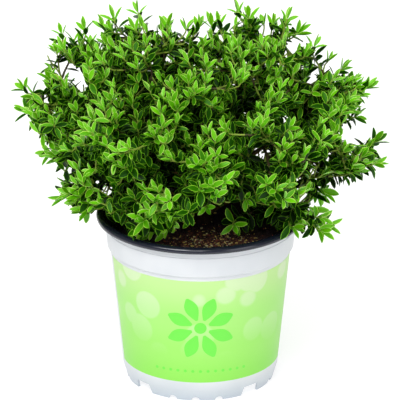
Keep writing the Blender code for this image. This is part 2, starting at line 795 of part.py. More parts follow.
def grow_mass(mass, tips, paths, core, limbs):
    """The twigs and leaves of one mass, each skipped where it would leave its sector or meet a limb."""
    rng = random.Random(mass.name)
    core_tree = BVHTree.FromPolygons(*core) if core else None
    carriers = []
    twigs = []
    leaves = []
    taken = []
    for direction in tips:
        shortfall = rng.uniform(*TIP_SHORTFALL) if twigs else 1.0
        end = HEART + direction * (crown_reach(direction) * shortfall - LEAF_LENGTH * TIP_SHARE)
        growing = (direction + UP * TWIG_LIFT).normalized()
        if twigs:
            points = side_twig(carriers, end, growing)
        else:
            points = mass_stem(mass, end, growing, paths)
        margin = TWIG_RADIUS + SECTOR_MARGIN
        if not all(in_sector(p, mass, margin) and clear_of_pot(p) for p in points[1:]):
            continue
        first_radius = TWIG_RADIUS if twigs else MASS_STEM_RADIUS
        twig = tube(points, tapered(first_radius, TWIG_TIP_RADIUS, len(points)), TWIG_SIDES)
        if twigs and crosses(twig, limbs):
            continue
        carriers.append(points)
        twigs.append(twig)
        leaves += grow_leaves(points, mass, core_tree, taken, limbs, rng)
        taken.append(BVHTree.FromPolygons(*twig))
    return twigs, leaves


def make_mass(mass, tips, paths, limbs, material):
    """One foliage mass, with its core, twigs and leaves joined into one solid."""
    core = core_shape(mass, limbs)
    twigs, leaves = grow_mass(mass, tips, paths, core, limbs)
    mass_body = add_object("foliage_" + mass.name, *twigs[0], material)
    others = [add_object("piece", *piece) for piece in twigs[1:] + leaves]
    if core:
        others.append(add_object("core", *core))
    boolean_with(mass_body, others, "UNION", "MANIFOLD")
    return keep_largest(mass_body)


def main():
    clear_scene()
    white = make_material("white_plastic", (0.84, 0.88, 0.88), 0.35)
    black = make_material("black_plastic", (0.015, 0.016, 0.022), 0.30)
    earth = make_material("soil", (0.035, 0.025, 0.018), 0.95)
    bark = make_material("bark", (0.16, 0.11, 0.045), 0.80)
    leaf = make_material("leaf_green", (0.10, 0.33, 0.03), 0.45)
    make_shell(white)
    make_rim(black)
    make_soil(earth)
    add_object("main_stem", *stem_shape(), bark)
    paths = bough_paths()
    for mass in MASSES:
        if mass.carrier:
            make_bough(mass, paths, bark)
    tips = shoot_tips()
    limbs = limb_trees(paths) + [pot_tree()]
    for mass in MASSES:
        make_mass(mass, tips[mass.name], paths, limbs, leaf)


main()
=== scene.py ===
import itertools
import math
import random
from collections import namedtuple

import bmesh
import bpy
import numpy as np
from mathutils import Matrix, Quaternion, Vector, noise
from mathutils.geometry import interpolate_bezier


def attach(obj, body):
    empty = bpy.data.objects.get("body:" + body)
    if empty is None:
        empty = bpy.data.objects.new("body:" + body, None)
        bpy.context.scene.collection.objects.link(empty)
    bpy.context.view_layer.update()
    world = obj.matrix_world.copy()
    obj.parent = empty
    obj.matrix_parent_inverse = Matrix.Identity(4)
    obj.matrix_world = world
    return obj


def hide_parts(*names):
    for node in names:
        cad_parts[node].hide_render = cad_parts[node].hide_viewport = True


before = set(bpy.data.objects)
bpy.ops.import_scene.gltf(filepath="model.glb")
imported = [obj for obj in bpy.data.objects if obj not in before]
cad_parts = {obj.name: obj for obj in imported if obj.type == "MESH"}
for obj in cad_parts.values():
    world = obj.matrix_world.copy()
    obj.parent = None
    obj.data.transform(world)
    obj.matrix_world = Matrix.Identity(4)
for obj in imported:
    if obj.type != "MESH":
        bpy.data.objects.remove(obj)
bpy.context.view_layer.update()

UP = Vector((0.0, 0.0, 1.0))
GOLDEN_ANGLE = math.pi * (3.0 - math.sqrt(5.0))

# Camera, as fitted to the pot's ellipses in the photograph
CAMERA_ELEVATION = math.radians(21.49)
CAMERA_DISTANCE = 3.423
CAMERA_AIM = Vector((-0.0004, 0.0, 0.1697))
CAMERA_LENS = 338.2
SENSOR_WIDTH = 36.0
CAMERA_RIGHT = Vector((1.0, 0.0, 0.0))
CAMERA_UP = Vector((0.0, math.sin(CAMERA_ELEVATION), math.cos(CAMERA_ELEVATION)))
CAMERA_BACK = Vector((0.0, -math.cos(CAMERA_ELEVATION), math.sin(CAMERA_ELEVATION)))

# Floor and light: sizes in metres, power in watts
FLOOR_HALF_SIZE = 12.0
FLOOR_GLOW = 0.74
SKY_STRENGTH = 0.25
SUN_STRENGTH = 1.0
SUN_WIDTH = math.radians(35.0)
SUN_TURNS = (math.radians(28.0), math.radians(-10.0), 0.0)
Lamp = namedtuple("Lamp", "name place target width height power")
LAMPS = (
    Lamp("key", (-0.7, -1.6, 1.7), (0.0, 0.0, 0.2), 1.8, 0.7, 27.0),
    Lamp("fill", (1.5, -1.5, 0.9), (0.0, 0.0, 0.15), 1.2, 1.2, 8.0),
    Lamp("top", (0.2, 0.3, 2.1), (0.0, 0.0, 0.2), 1.0, 1.0, 10.0),
    Lamp("back", (-0.2, 1.8, 0.90), (0.0, 0.0, 0.18), 2.0, 0.7, 12.0),
)

# The pot's white shell, as in the source
TURNED_SIDES = 144
FOOT_RADIUS = 0.0677
FOOT_HEIGHT = 0.0095
FOOT_SHOULDER_RADIUS = 0.0706
FOOT_SHOULDER_HEIGHT = 0.0100
BASE_THICKNESS = 0.0020
WALL_START_HEIGHT = 0.0127
WALL_RADIUS_AT_GROUND = 0.0701
WALL_TAPER = 0.0985
WALL_THICKNESS = 0.0022
LEDGE_HEIGHT = 0.1289
LEDGE_CHAMFER = 0.0019
BAND_RADIUS = 0.0852
BAND_TAPER = 0.092
BAND_THICKNESS = 0.0010
BAND_LINE_HEIGHT = 0.1475
BAND_LINE_STEP = 0.0005
SHELL_HEIGHT = 0.1542
FOOT_COUNT = 4
FOOT_TURN = math.radians(-3.6)
GAP_HALF_WIDTH_LOW = 0.0102
GAP_HALF_WIDTH_HIGH = 0.0080
GAP_ROOF = 0.0004
NOTCH_RADIUS = 0.0037
NOTCH_STEP = math.radians(18.0)
NOTCH_ARC_STEPS = 16
CUT_INWARD = 0.0080
CUT_OUTWARD = 0.0040
CUT_BELOW = 0.0020
# height up to which the pot's foot is painted with shade
FOOT_SHADE_TOP = 0.020
DRAIN_RADIUS = 0.0050
DRAIN_CENTRE_RADIUS = 0.0500
DRAIN_SIDES = 24
DRAIN_OVERRUN = 0.0030

# The black rim
RIM_RADIUS = 0.0950
RIM_TOP = 0.1600
RIM_UNDERSIDE = 0.1545
RIM_SPRING = 0.1560
RIM_INNER_RADIUS = 0.0873
RIM_LIP_SET_BACK = 0.0010
LINING_THICKNESS = 0.0010
LINING_BOTTOM = 0.1310
LINING_TOP = 0.1525
ROLL_STEPS = 20
GAP = 0.0003

# The printed label: a front panel and a like one behind
LABEL_LOW = 0.0199
LABEL_HIGH = 0.1235
LABEL_HALF_WIDTH = math.radians(78.5)
LABEL_MIDDLES = (math.radians(2.5), math.radians(182.5))
LABEL_LIFT = 0.00012
LABEL_COLUMNS = 96
LABEL_ROWS = 28
MOTIF_LIFT = 0.00010
MOTIF_THICKNESS = 0.00015
MOTIF_TURN = math.radians(-2.5)  # from the middle of its panel
DAISY_HEIGHT = 0.0760
DAISY_PETALS = 8
DAISY_INNER = 0.0084
DAISY_PETAL_LENGTH = 0.0236
DAISY_PETAL_WIDTH = 0.0124
DAISY_CENTRE = 0.0056
PETAL_ROWS = 11
PETAL_COLUMNS = 7
DISC_SIDES = 20
DOT_HEIGHT = 0.0315
DOT_COUNT = 13
DOT_RADIUS = 0.0014
DOT_STEP = math.radians(5.4)

# Soil
SOIL_TOP = 0.1470
SOIL_BUMP = 0.0016
SOIL_WAVES = ((38.0, 3.1, 0.9), (170.0, 9.7, 0.55), (620.0, 21.3, 0.30))  # scale, start and share
SOIL_RINGS = 44
SOIL_SIDES = 120
LIT_SOIL_SPOT = Vector((0.012, -0.064, SOIL_TOP))  # a painted pool of light on the soil at the front
LIT_SOIL_REACHES = (0.014, 0.062)
CRUMB_TRIES = 7000
CRUMB_SIZES = (0.0004, 0.0013)
CRUMB_SEED = 11
CRUMB_COLOURS = {
    "dark": (52, 42, 42),
    "brown": (112, 70, 52),
    "red": (168, 96, 72),
    "ochre": (248, 222, 130),
    "pale": (252, 242, 190),
}
LIT_CRUMB_SHARES = (0.22, 0.16, 0.22, 0.14)  # of each colour but the dark, where the soil's painted light is full

# Main stem and boughs, as in the source
STEM_FOOT = Vector((0.003, 0.006, SOIL_TOP + GAP))
STEM_TOP = Vector((0.000, -0.006, 0.2020))
STEM_FLARE_RADIUS = 0.0105
STEM_RADIUS = 0.0062
STEM_TOP_RADIUS = 0.0032
STEM_BOW = Vector((0.0025, 0.001, 0.0))
FLARE_DECAY = 14.0
BOUGH_TIP_RADIUS = 0.0013
BOUGH_RADIUS_FROM_STEM = 0.0026
BOUGH_RADIUS_FROM_BOUGH = 0.0019
GATE_SHARE = 0.44
CURVE_PULL = 0.36
BOUGH_FOLLOW = 0.35
BOUGH_LIFT = 0.25
BARK_SIDES = 18
BARK_RING_STEP = 0.0012
BARK_RELIEF = 0.00045
FULL_RELIEF_RADIUS = 0.003
RIDGES_ROUND = 2.6
RIDGES_ALONG = 90.0
KNOT_SCALE = 160.0
KNOT_SHARE = 0.6
STEM_SUNK = 0.0018  # how far the bark's foot reaches into the loose soil

# The crown, as in the source
HEART = Vector((0.0, 0.0, 0.1750))
REACH_BLEND = math.radians(17.0)
LOBE_DEPTH = 0.07
LOBE_HALF_WIDTH = math.radians(25.0)
FRONT_UNDERSIDE = math.radians(15.0)
SIDE_UNDERSIDE = math.radians(-16.0)
UNDERSIDE_SHARPNESS = 3
TIP_SPREAD = 1.32
POT_CLEARANCE = 0.0008
MASS_STEM_STRAIGHT = 0.004
TWIG_LIFT = 0.30
LIFT_SPREAD = 0.35
LIFT_WITH_RISE = 0.6
TWIG_AIM = 2.2
TURN_COST = 0.8

# Finer shoots
CROWN_SEED = 10
OUTER_SHOOTS = 1300
INNER_SHOOTS = 520
OUTER_SHARES = (0.68, 0.98)
TOP_SHARES = (0.66, 0.95)
TOP_RISE = 0.72  # the sine of the rise from which the top's shares hold
INNER_SHARES = (0.48, 0.72)
# painted shade: the inner shoots' leaves are given darker tints
INNER_SHADE = 2.6
INNER_TURN = 1.0
DIRECTION_SWAY = 0.022
AGE_SPREAD = 0.6
OUTLINE_DEPTHS = (-0.005, 0.018)
OUTLINE_SWAY = 0.12
OUTLINE_TILT = 0.25
COMPANIONS = 3
COMPANION_SWAY = 4.5
COMPANION_SET_BACK = (0.008, 0.040)
CLUSTER_SHOOTS = 6
CLUSTER_SPREAD = 13.0
CLUSTER_SPACING = 0.0085
CLUSTER_AGES = (-0.5, 0.1)
CLUSTER_HEIGHTENING = 1.2
CLUSTER_UNEVENNESS = 0.04
CLUSTER_ROUNDING = 0.003
TIP_SPACING = 0.0115
EDGE_SPACING = 0.0085
OUTLINE_AGES = (-0.1, 0.8)
# the low shoots are set young as painted light on leaves in the crown's shade, the left ones most
LOW_SHOOT_AGES_AND_LIGHT = (-2.3, -0.4)  # left of the heart and right of it
LOW_LEFT_GROWTH = 0.8
EDGE_AGES = (-0.9, 0.8)
EDGE_STEP = 1.6  # millimetres of the edge for each tip
EDGE_SHARES = (0.78, 0.99)
EDGE_DEPTHS = (-0.040, 0.035)
LOWEST_EDGE = 25.0
WIDEST_LOW_EDGE = 112.0
SHADED_SHOOTS = 500
SHADED_RISES = (-0.35, 0.30)
SHADED_REACHES = (0.055, 0.092)
SHADED_AGES = (1.6, 3.2)
SHADED_BEARINGS = (-1.6, 1.6)
SHADED_LIFTS = (-0.2, 0.3)
MASS_TIP_SHARE = 0.96
SHORT_MASS_TIP_SHARE = 0.8  # where the crown's edge leaves no room for the whole
SURFACE_START = 0.2
SURFACE_STEPS = 100
EDGE_STEPS = 12
HOLLOW_SHARE = 0.65
# painted shade: darker tints for the leaves in the hollows
HOLLOW_SHADE = 1.5
# painted shade: darker tints for tips deeper in the crown
SHADE_WITH_DEPTH = 7.0
SHADE_TOP = 45.0  # millimetres above the heart in the picture, below which the front is in shade
SHADE_FADE = 30.0  # millimetres down from there to the full shade
SHADE_AGE = 1.9
CLUMP_SCALE = 5.0
CLUMP_DEPTH = 0.14
CLUMP_GAP = -0.42
# painted shade: darker tints in the dips of the clumps
CLUMP_SHADE = 2.0
SHOOT_POINTS = 7
ROOT_POINTS = 4  # a side shoot springs from one of its carrier's first points
SHORTEST_SHOOT = 0.020
LEAST_REACH = 0.060
MOST_STRAYED = 1
SHOOT_TIP_RADIUS = 0.00065
SHOOT_THICKENING = 0.013
SHOOT_THICKEST = 0.0014
SHOOT_SIDES = 5
GREEN_STEM_LENGTH = 0.026

# Leaves: how far back from the tip each pair stands, its opening (degrees), length and width
LeafPair = namedtuple("LeafPair", "back opening length width")
YOUNG_PAIRS = (
    LeafPair(0.0004, 11.0, 0.0118, 0.0041),
    LeafPair(0.0024, 36.0, 0.0122, 0.0046),
    LeafPair(0.0062, 56.0, 0.0126, 0.0050),
    LeafPair(0.0106, 66.0, 0.0126, 0.0052),
)
OLD_PAIR = LeafPair(0.0152, 70.0, 0.0122, 0.0052)
OLD_PAIR_SPACING = 0.0047
LEAFY_LENGTH = 0.090
LEAFLESS_REACH = 0.068
HELD_SHARE = 0.85  # how much of a leaf stays within the crown's edge
LEAF_SIZES = (0.84, 1.04)
LENGTH_SPREAD = (0.90, 1.08)
WIDTH_SPREAD = (0.88, 1.12)
BACK_SPREAD = (0.92, 1.08)
TURN_SWAY = 0.10
OPENING_SWAY = 5.0
ROLL_SWAY = 0.22
FOLDS = (0.30, 0.55)
ARCHES = (-0.04, 0.14)
TIP_FOLD = 0.60
TIP_ARCH = -0.08
ROOT_SHARE = 0.6  # of the shoot's radius, where a leaf is rooted
GAP_TESTS = (0.1, 0.4, 0.7, 1.0)  # shares of a leaf's length that are kept out of the sky gaps
LOW_LEAF_GROWTH = 0.22
LEADER_GROWTH = 1.12
TOP_BROADNESS = 0.95
LOW_BROADNESS = 1.05
OPENNESS = (0.85, 1.25)
LOW_OPENNESS = 0.35
WIDEST_OPENING = 82.0
LOOSEST_TIP = 18.0  # how far the first pair may stand open beyond its measure
LEADER_TIPS = (2.0, 22.0)  # the same at the outline: either closed or open
LIGHT_TURN = (0.15, 0.75)
LEADER_LIGHT_TURN = (0.25, 0.75)
HANGING_TURN = 0.6
LIGHT_FROM = (0.6, 0.45, 0.5)
LEAF_STATIONS = (0.0, 0.18, 0.42, 0.69, 0.90)
LEAF_HALF_WIDTHS = (0.14, 0.66, 0.99, 0.90, 0.46)
LEAF_MARGIN = 0.14
AGE_PER_PAIR = 1.3
LEADER_AGE_PER_PAIR = 1.65
SHOOT_AGES = (-0.5, 0.6)
LEAF_AGE_SPREAD = 0.35
# painted light: the youngest pairs are painted paler high on the crown
LIGHT_PAIRS = 2  # the pairs that are paler near the crown's top
LIGHT_BOTTOM = 95.0  # millimetres above the heart in the picture, from which they are
LIGHT_RISE = 28.0  # and the rise that makes them one tint paler
# so that the darkest tints, which paint the crown's inner shade, stay inside the crown
PALER_DEPTHS = (0.91, 0.74)  # shares of the crown's reach, each of which rules out one dark tint

# Leaf colours from the youngest to the oldest: blade and margin (0 to 255), and gloss. The pale one is
# painted light, kept for the low-left shoots in the crown's shade, and the darkest ones also serve as
# painted shade inside the crown
Tint = namedtuple("Tint", "name blade margin gloss")
TINTS = (
    Tint("pale", (158, 230, 44), (232, 252, 160), 0.44),
    Tint("lime", (114, 198, 14), (216, 250, 134), 0.30),
    Tint("fresh", (88, 166, 4), (200, 244, 100), 0.22),
    Tint("mid", (50, 114, 1), (166, 226, 62), 0.12),
    Tint("deep", (28, 78, 1), (136, 204, 44), 0.08),
    Tint("dark", (15, 50, 1), (110, 176, 34), 0.05),
    Tint("darkest", (9, 31, 1), (78, 128, 24), 0.06),
)

# Foliage masses, as in the source: bearing and rise (degrees), reach, and the limb that carries
# the bough with the share of its length where the bough starts
Mass = namedtuple("Mass", "name bearing rise reach carrier share")
MASSES = (
    Mass("top_front", 8, 74, 0.162, None, 1.0),
    Mass("top_left", 232, 66, 0.180, "upper_left", 0.45),
    Mass("top_right", 134, 60, 0.186, "upper_right", 0.45),
    Mass("upper_left", 254, 38, 0.203, "main_stem", 0.86),
    Mass("upper_right", 104, 35, 0.188, "main_stem", 0.74),
    Mass("upper_front_left", 318, 42, 0.178, "main_stem", 0.66),
    Mass("upper_front_right", 40, 40, 0.176, "main_stem", 0.50),
    Mass("upper_back_left", 208, 33, 0.182, "main_stem", 0.58),
    Mass("upper_back_right", 158, 31, 0.182, "main_stem", 0.40),
    Mass("left", 272, 17, 0.186, "main_stem", 0.32),
    Mass("right", 88, 11, 0.176, "main_stem", 0.24),
    Mass("front", 0, 24, 0.177, "upper_front_right", 0.40),
    Mass("low_left", 290, 2, 0.146, "left", 0.42),
    Mass("low_front_left", 331, 8, 0.122, "upper_front_left", 0.30),
    Mass("low_front_right", 60, 0, 0.140, "right", 0.42),
    Mass("low_back_left", 236, 4, 0.154, "left", 0.55),
    Mass("low_back", 187, 3, 0.164, "upper_back_left", 0.36),
    Mass("low_back_right", 133, 3, 0.156, "upper_back_right", 0.36),
)

# Shoots that stand out of the crown's outline, seen from the camera: the angle from the right,
# anticlockwise (degrees), the distance from the heart (millimetres), and for some the way they grow
OUTLINE_SHOOTS = (
    (-9.5, 112), (-4.5, 110, -75), (-1.2, 121), (6.5, 113, 70), (10.2, 174), (12.5, 167), (17.8, 177),
    (25.5, 171), (34, 191), (37.5, 183), (41.5, 184), (45.5, 180), (52, 182), (57.3, 164, 92),
    (58, 184), (61.5, 175, 70), (62.5, 170, 66), (64, 190), (68.5, 180), (71, 176), (74, 172),
    (76, 178), (79.5, 181), (84.5, 168), (87, 166), (91, 165), (94.5, 164), (100.5, 168), (103, 165),
    (108.2, 187), (115.5, 190), (118.5, 188), (124, 196), (127.5, 194), (130, 206), (134, 196),
    (136, 199), (137.5, 188), (138, 158), (139.5, 181, 100), (143.5, 176), (147.3, 198, 104),
    (151.2, 186, 172), (155.5, 187, 168), (165.5, 155), (175.5, 132), (181.5, 136), (188.5, 116),
    (192, 104),
)

# How shoots at the outline turn: their place round the heart and the way they grow (degrees)
GROWTH_TURNS = (
    (-90, -60), (-10, -20), (2, -30), (9, 6), (12, 12), (17, 42), (22, 20), (28, 10), (34, 56),
    (46, 40), (58, 48), (64, 72), (70, 95), (80, 90),
    (100, 98), (125, 105), (138, 112), (148, 134), (155, 150), (166, 176), (176, 184), (200, 205),
    (270, 250),
)

# The edge of the dense crown, seen from the camera: right of the heart and above it (millimetres)
CROWN_EDGE = (
    (-170, 103), (-158, 91), (-145, 91), (-141, 119), (-130, 119), (-122, 106), (-112, 98), (-103, 101),
    (-106, 110), (-118, 120), (-139, 133), (-129, 155), (-108, 157), (-104, 149), (-94, 150),
    (-91, 162), (-82, 167), (-74, 148), (-57, 171), (-47, 152), (-43, 161), (-29, 164), (-24, 149),
    (-15, 142), (-14, 158), (-4, 161), (0, 148), (8, 161), (24, 165), (29, 149), (34, 173), (46, 170),
    (56, 160), (63, 142), (70, 166), (84, 163), (78, 142), (76, 130), (84, 130), (88, 141), (98, 148),
    (111, 142), (112, 131), (137, 115), (159, 104), (154, 90), (147, 73), (127, 60), (128, 50),
    (146, 43), (152, 57), (168, 54), (168, 30), (128, 17), (112, 20), (104, 10), (99, 0), (97, -8),
    (98, -36), (86, -38), (75, -25), (64, -14), (42, -7), (14, -9), (0, -13), (-6, -26), (-20, -31),
    (-29, -42), (-61, -42), (-71, -24), (-80, -27), (-85, -12), (-93, -10), (-97, -21), (-107, -21),
    (-113, -14), (-133, -5), (-128, 5), (-127, 14), (-122, 20), (-132, 30), (-146, 36), (-138, 48),
    (-152, 61), (-168, 77),
)

# Hollows in the crown's front that show the dark inside, with painted shade on their leaves, in the same
# measures, with their radius
DARK_HOLLOWS = (
    (47, 89, 11), (-50, 80, 6), (-5, 75, 6), (-21, 41, 7), (-21, 21, 7), (-22, 4, 7), (-41, 32, 5),
    (36, 63, 6), (96, 75, 6), (91, 109, 6), (59, 36, 6), (14, 125, 5), (-32, 121, 5), (-64, 9, 6),
    (32, -2, 8),
)

# Parts of the crown painted in deeper shade or more light, in the same measures with their radius, and
# the change of leaf ages that paints it there
TONE_SPOTS = (
    (-82, 4, 14, -0.8), (112, 14, 19, -1.4), (40, 78, 14, 1.5), (-118, 92, 20, -1.1),
    (-66, 148, 14, -0.8), (-36, 41, 13, -1.0), (154, 42, 14, 1.6), (-34, -25, 15, -1.5),
    (-27, -12, 10, -0.8), (-80, 130, 12, 0.5), (98, -10, 17, -1.3), (46, 149, 12, -1.5),
    (-77, -18, 13, 1.5),
)

# Where leading shoots stand in clusters on the crown's front, in the same measures
FRONT_CLUSTERS = (
    (-27, 91), (-32, 54), (14, 54), (14, 18), (-41, 0), (-76, 45), (-112, 18), (82, 45), (55, 68),
    (132, 82), (114, 59), (-100, 63), (-59, 136), (-96, 125), (68, 4), (-30, 72), (38, 110), (88, 16),
    (-5, 100), (5, 36), (-88, 84), (64, 95), (-146, 78), (148, 44), (-96, -4),
)

# Gaps that show the background through the crown, seen from the camera: right of the heart, above
# it, and radius (millimetres)
SKY_GAPS = (
    (-128, 111, 4.5), (-107, 97, 5), (-140, 86, 3.5), (-146, 97, 4), (84, 134, 4.5),
    (-117, 147, 3.5), (-90, -17, 5), (-84, -24, 4), (133, 61, 2.5), (71, 118, 2.5), (-122, 119, 4),
    (-52, 148, 3), (1, 146, 3), (-42, 152, 3), (79, 126, 3.5), (-52, 126, 2), (-55, 119, 2),
    (-44, 119, 2), (-56, 110, 2), (-45, 112, 2), (-44, 105, 2), (-24, 123, 2),
    (-8, 117, 2.5), (2, 112, 2), (18, 123, 2.2), (41, 119, 2.5), (49, 118, 2), (58, 119, 2.5),
    (49, 104, 2.2), (27, 104, 2.2), (-52, 95, 2.5), (32, 95, 2.2), (56, 94, 2.2), (-70, 143, 3.5),
    (102, 17, 4.5), (89, 15, 4.5), (102, -6, 3), (113, 114, 3.5), (103, 105, 3),
    (-84, 4, 5.5), (-117, 22, 3), (58, 36, 5), (19, 141, 3), (-96, 78, 3), (50, 38, 4),
    (87, 6, 3), (91, -1, 4), (-116, 11, 3), (-95, 27, 3), (-94, 12, 3), (-45, 36, 2.5),
    (59, 149, 5), (-138, 126, 3), (123, 118, 3), (-133, 73, 2.5), (-108, 81, 2.5),
    (-84, 70, 2.5), (107, 28, 4), (97, 27, 2.5), (115, 31, 2.5), (144, 31, 2), (138, 37, 2.5),
    (118, 36, 3), (89, -7, 2), (-43, 132, 2.5), (-14, 146, 4), (-12, 129, 3),
)

# Shoots that hang low over the pot's front: bearing and rise (degrees), and reach (metres)
LOW_SHOOTS = (
    (337, 20, 0.127), (329, 11, 0.113), (346, 14, 0.129), (302, -5, 0.086), (336, -5, 0.085),
    (314, -12, 0.087), (323, -9, 0.084), (328, 3, 0.084), (307, 6, 0.088), (318, 8, 0.098),
    (341, 3, 0.096), (333, 1, 0.092),
    (26, -5, 0.080), (3, 15, 0.116), (55, 1, 0.117), (39, 15, 0.100), (31, 15, 0.094),
    (48, 10, 0.103), (65, -7, 0.132), (51, -3, 0.119), (72, -7, 0.134), (67, -2, 0.130),
)


# Numbers and colours

def linear(value):
    value /= 255.0
    return value / 12.92 if value <= 0.04045 else ((value + 0.055) / 1.055) ** 2.4


def colour(red, green, blue):
    """A colour given as the 0 to 255 values of a screen, as the shader wants it."""
    return (linear(red), linear(green), linear(blue), 1.0)


def bearing_vector(bearing, rise):
    level = math.cos(rise)
    return Vector((level * math.sin(bearing), -level * math.cos(bearing), math.sin(rise)))


def tapered(first, last, count):
    return [first + (last - first) * k / (count - 1) for k in range(count)]


DIRECTIONS = {m.name: bearing_vector(math.radians(m.bearing), math.radians(m.rise)) for m in MASSES}


# Materials

def shader_of(material):
    return material.node_tree.nodes["Principled BSDF"]


def new_material(name, base, roughness, specular=0.5):
    material = bpy.data.materials.new(name)
    material.use_nodes = True
    shader = shader_of(material)
    shader.inputs["Base Color"].default_value = base
    shader.inputs["Roughness"].default_value = roughness
    shader.inputs["Specular IOR Level"].default_value = specular
    return material


def connect(material, source, target, socket):
    """Lead a source, which is (node, output), to a socket of the target node."""
    node, output = source
    material.node_tree.links.new(node.outputs[output], target.inputs[socket])


def paint(material, source):
    connect(material, source, shader_of(material), "Base Color")


def add_node(material, kind, sources=None, **values):
    """A node of the material, with attributes and input values set by name, and its sources."""
    node = material.node_tree.nodes.new(kind)
    for key, value in values.items():
        if hasattr(node, key):
            setattr(node, key, value)
        else:
            node.inputs[key.replace("_", " ")].default_value = value
    for socket, source in (sources or {}).items():
        connect(material, source, node, socket)
    return node


def object_place(material):
    return add_node(material, "ShaderNodeTexCoord"), "Object"


def noise_value(material, scale, detail):
    sources = {"Vector": object_place(material)}
    return add_node(material, "ShaderNodeTexNoise", sources, Scale=scale, Detail=detail), "Fac"


def mapped(material, source, low, high, to_low=0.0, to_high=1.0, **values):
    """A source's value, brought from one span to another."""
    spans = {"From_Min": low, "From_Max": high, "To_Min": to_low, "To_Max": to_high}
    return add_node(material, "ShaderNodeMapRange", {"Value": source}, **spans, **values), "Result"


def height_share(material, low, high):
    """How far up a place is between two heights."""
    axes = add_node(material, "ShaderNodeSeparateXYZ", {"Vector": object_place(material)})
    return mapped(material, (axes, "Z"), low, high)


def ramp(material, source, stops, interpolation="LINEAR"):
    """A colour by a source's value: stops are (position, colour)."""
    node = add_node(material, "ShaderNodeValToRGB", {"Fac": source})
    node.color_ramp.interpolation = interpolation
    elements = node.color_ramp.elements
    while len(elements) < len(stops):
        elements.new(0.5)
    for element, (position, value) in zip(elements, stops):
        element.position = position
        element.color = colour(*value)
    return node, "Color"


def add_bump(material, scale, distance, strength=1.0, detail=3.0):
    """Fine relief from noise, in object space."""
    grain = noise_value(material, scale, detail)
    bump = add_node(material, "ShaderNodeBump", {"Height": grain}, Distance=distance, Strength=strength)
    connect(material, (bump, "Normal"), shader_of(material), "Normal")
    return grain


def vary_roughness(material, source, low, high):
    spread = mapped(material, source, 0.0, 1.0, low, high)
    connect(material, spread, shader_of(material), "Roughness")


def white_plastic():
    """White, a little uneven, with painted shade greying it towards the foot."""
    material = new_material("pot_white", colour(224, 229, 231), 0.32)
    grain = add_bump(material, 900.0, 0.00004, 0.35)
    vary_roughness(material, grain, 0.26, 0.40)
    tone = noise_value(material, 26.0, 2.0)
    white = ramp(material, tone, ((0.35, (217, 221, 226)), (0.65, (225, 228, 232))))
    # painted shade: bluish grey at the ground, fading into the white by FOOT_SHADE_TOP
    sources = {"Factor": height_share(material, 0.0, FOOT_SHADE_TOP), "B": white}
    mix = add_node(material, "ShaderNodeMix", sources, data_type="RGBA", A=colour(188, 198, 208))
    paint(material, (mix, "Result"))
    return material


def black_plastic():
    material = new_material("rim_black", colour(27, 30, 47), 0.2, 0.65)
    grain = add_bump(material, 1400.0, 0.00003, 0.25)
    vary_roughness(material, grain, 0.14, 0.26)
    return material


def label_print():
    """Light green, paler above, with soft pale rounds."""
    material = new_material("label_green", colour(198, 255, 153), 0.38)
    level = height_share(material, LABEL_LOW, LABEL_HIGH)
    stops = (
        (0.0, (144, 230, 84)),
        (0.30, (158, 234, 102)),
        (0.60, (168, 236, 118)),
        (1.0, (194, 236, 150)),
    )
    green = ramp(material, level, stops, "EASE")
    sources = {"Vector": object_place(material)}
    cells = add_node(material, "ShaderNodeTexVoronoi", sources, Scale=34.0, Randomness=1.0)
    rounds = mapped(material, (cells, "Distance"), 0.50, 0.42, interpolation_type="SMOOTHSTEP")
    upward = mapped(material, level, 0.25, 0.95, 0.0, 0.60)
    faint = add_node(material, "ShaderNodeMath", {0: rounds, 1: upward}, operation="MULTIPLY")
    sources = {"Factor": (faint, "Value"), "A": green}
    mix = add_node(material, "ShaderNodeMix", sources, data_type="RGBA", B=colour(222, 238, 204))
    paint(material, (mix, "Result"))
    return material


def motif_print():
    material = new_material("motif_green", colour(112, 232, 72), 0.38)
    add_bump(material, 1200.0, 0.00002, 0.3)
    return material


def soil_earth():
    """Dark soil, painted lighter and redder in a pool of light round the spot at the front, with painted
    shade further off.
    """
    material = new_material("soil_dark", colour(40, 28, 20), 0.95, 0.2)
    grain = add_bump(material, 700.0, 0.0006, 0.9, 6.0)
    stops = (
        (0.36, (58, 42, 44)),
        (0.50, (122, 78, 68)),
        (0.62, (190, 124, 100)),
        (0.78, (232, 180, 140)),
    )
    # painted light: the lit soil colours near the spot, fading into painted shade, the dark colour,
    # further off
    reach = add_node(material, "ShaderNodeVectorMath", {0: object_place(material)}, operation="DISTANCE")
    reach.inputs[1].default_value = LIT_SOIL_SPOT
    sources = {
        "Factor": mapped(material, (reach, "Value"), *LIT_SOIL_REACHES),
        "A": ramp(material, grain, stops),
    }
    mix = add_node(material, "ShaderNodeMix", sources, data_type="RGBA", B=colour(46, 38, 40))
    paint(material, (mix, "Result"))
    return material


def crumb(name, base):
    material = new_material("crumb_" + name, colour(*base), 0.9, 0.25)
    add_bump(material, 2500.0, 0.0002, 0.6)
    return material


def bark(dark, middle, pale):
    material = new_material("bark_brown", colour(*middle), 0.85, 0.25)
    grain = add_bump(material, 420.0, 0.0004, 0.7, 5.0)
    paint(material, ramp(material, grain, ((0.30, dark), (0.52, middle), (0.72, pale))))
    return material


def twig(name, base):
    material = new_material("twig_" + name, colour(*base), 0.6, 0.35)
    add_bump(material, 1500.0, 0.0001, 0.5)
    return material


def leaf_materials():
    """Blade and margin of each tint: plain colours, dealt out by how old a leaf is and by painted light
    and shade, with faint relief.
    """
    materials = []
    for tint in TINTS:
        for part, base in (("blade", tint.blade), ("margin", tint.margin)):
            material = new_material(f"leaf_{tint.name}_{part}", colour(*base), 0.34, tint.gloss)
            add_bump(material, 900.0, 0.00008, 0.5)
            materials.append(material)
    return materials


# Meshes

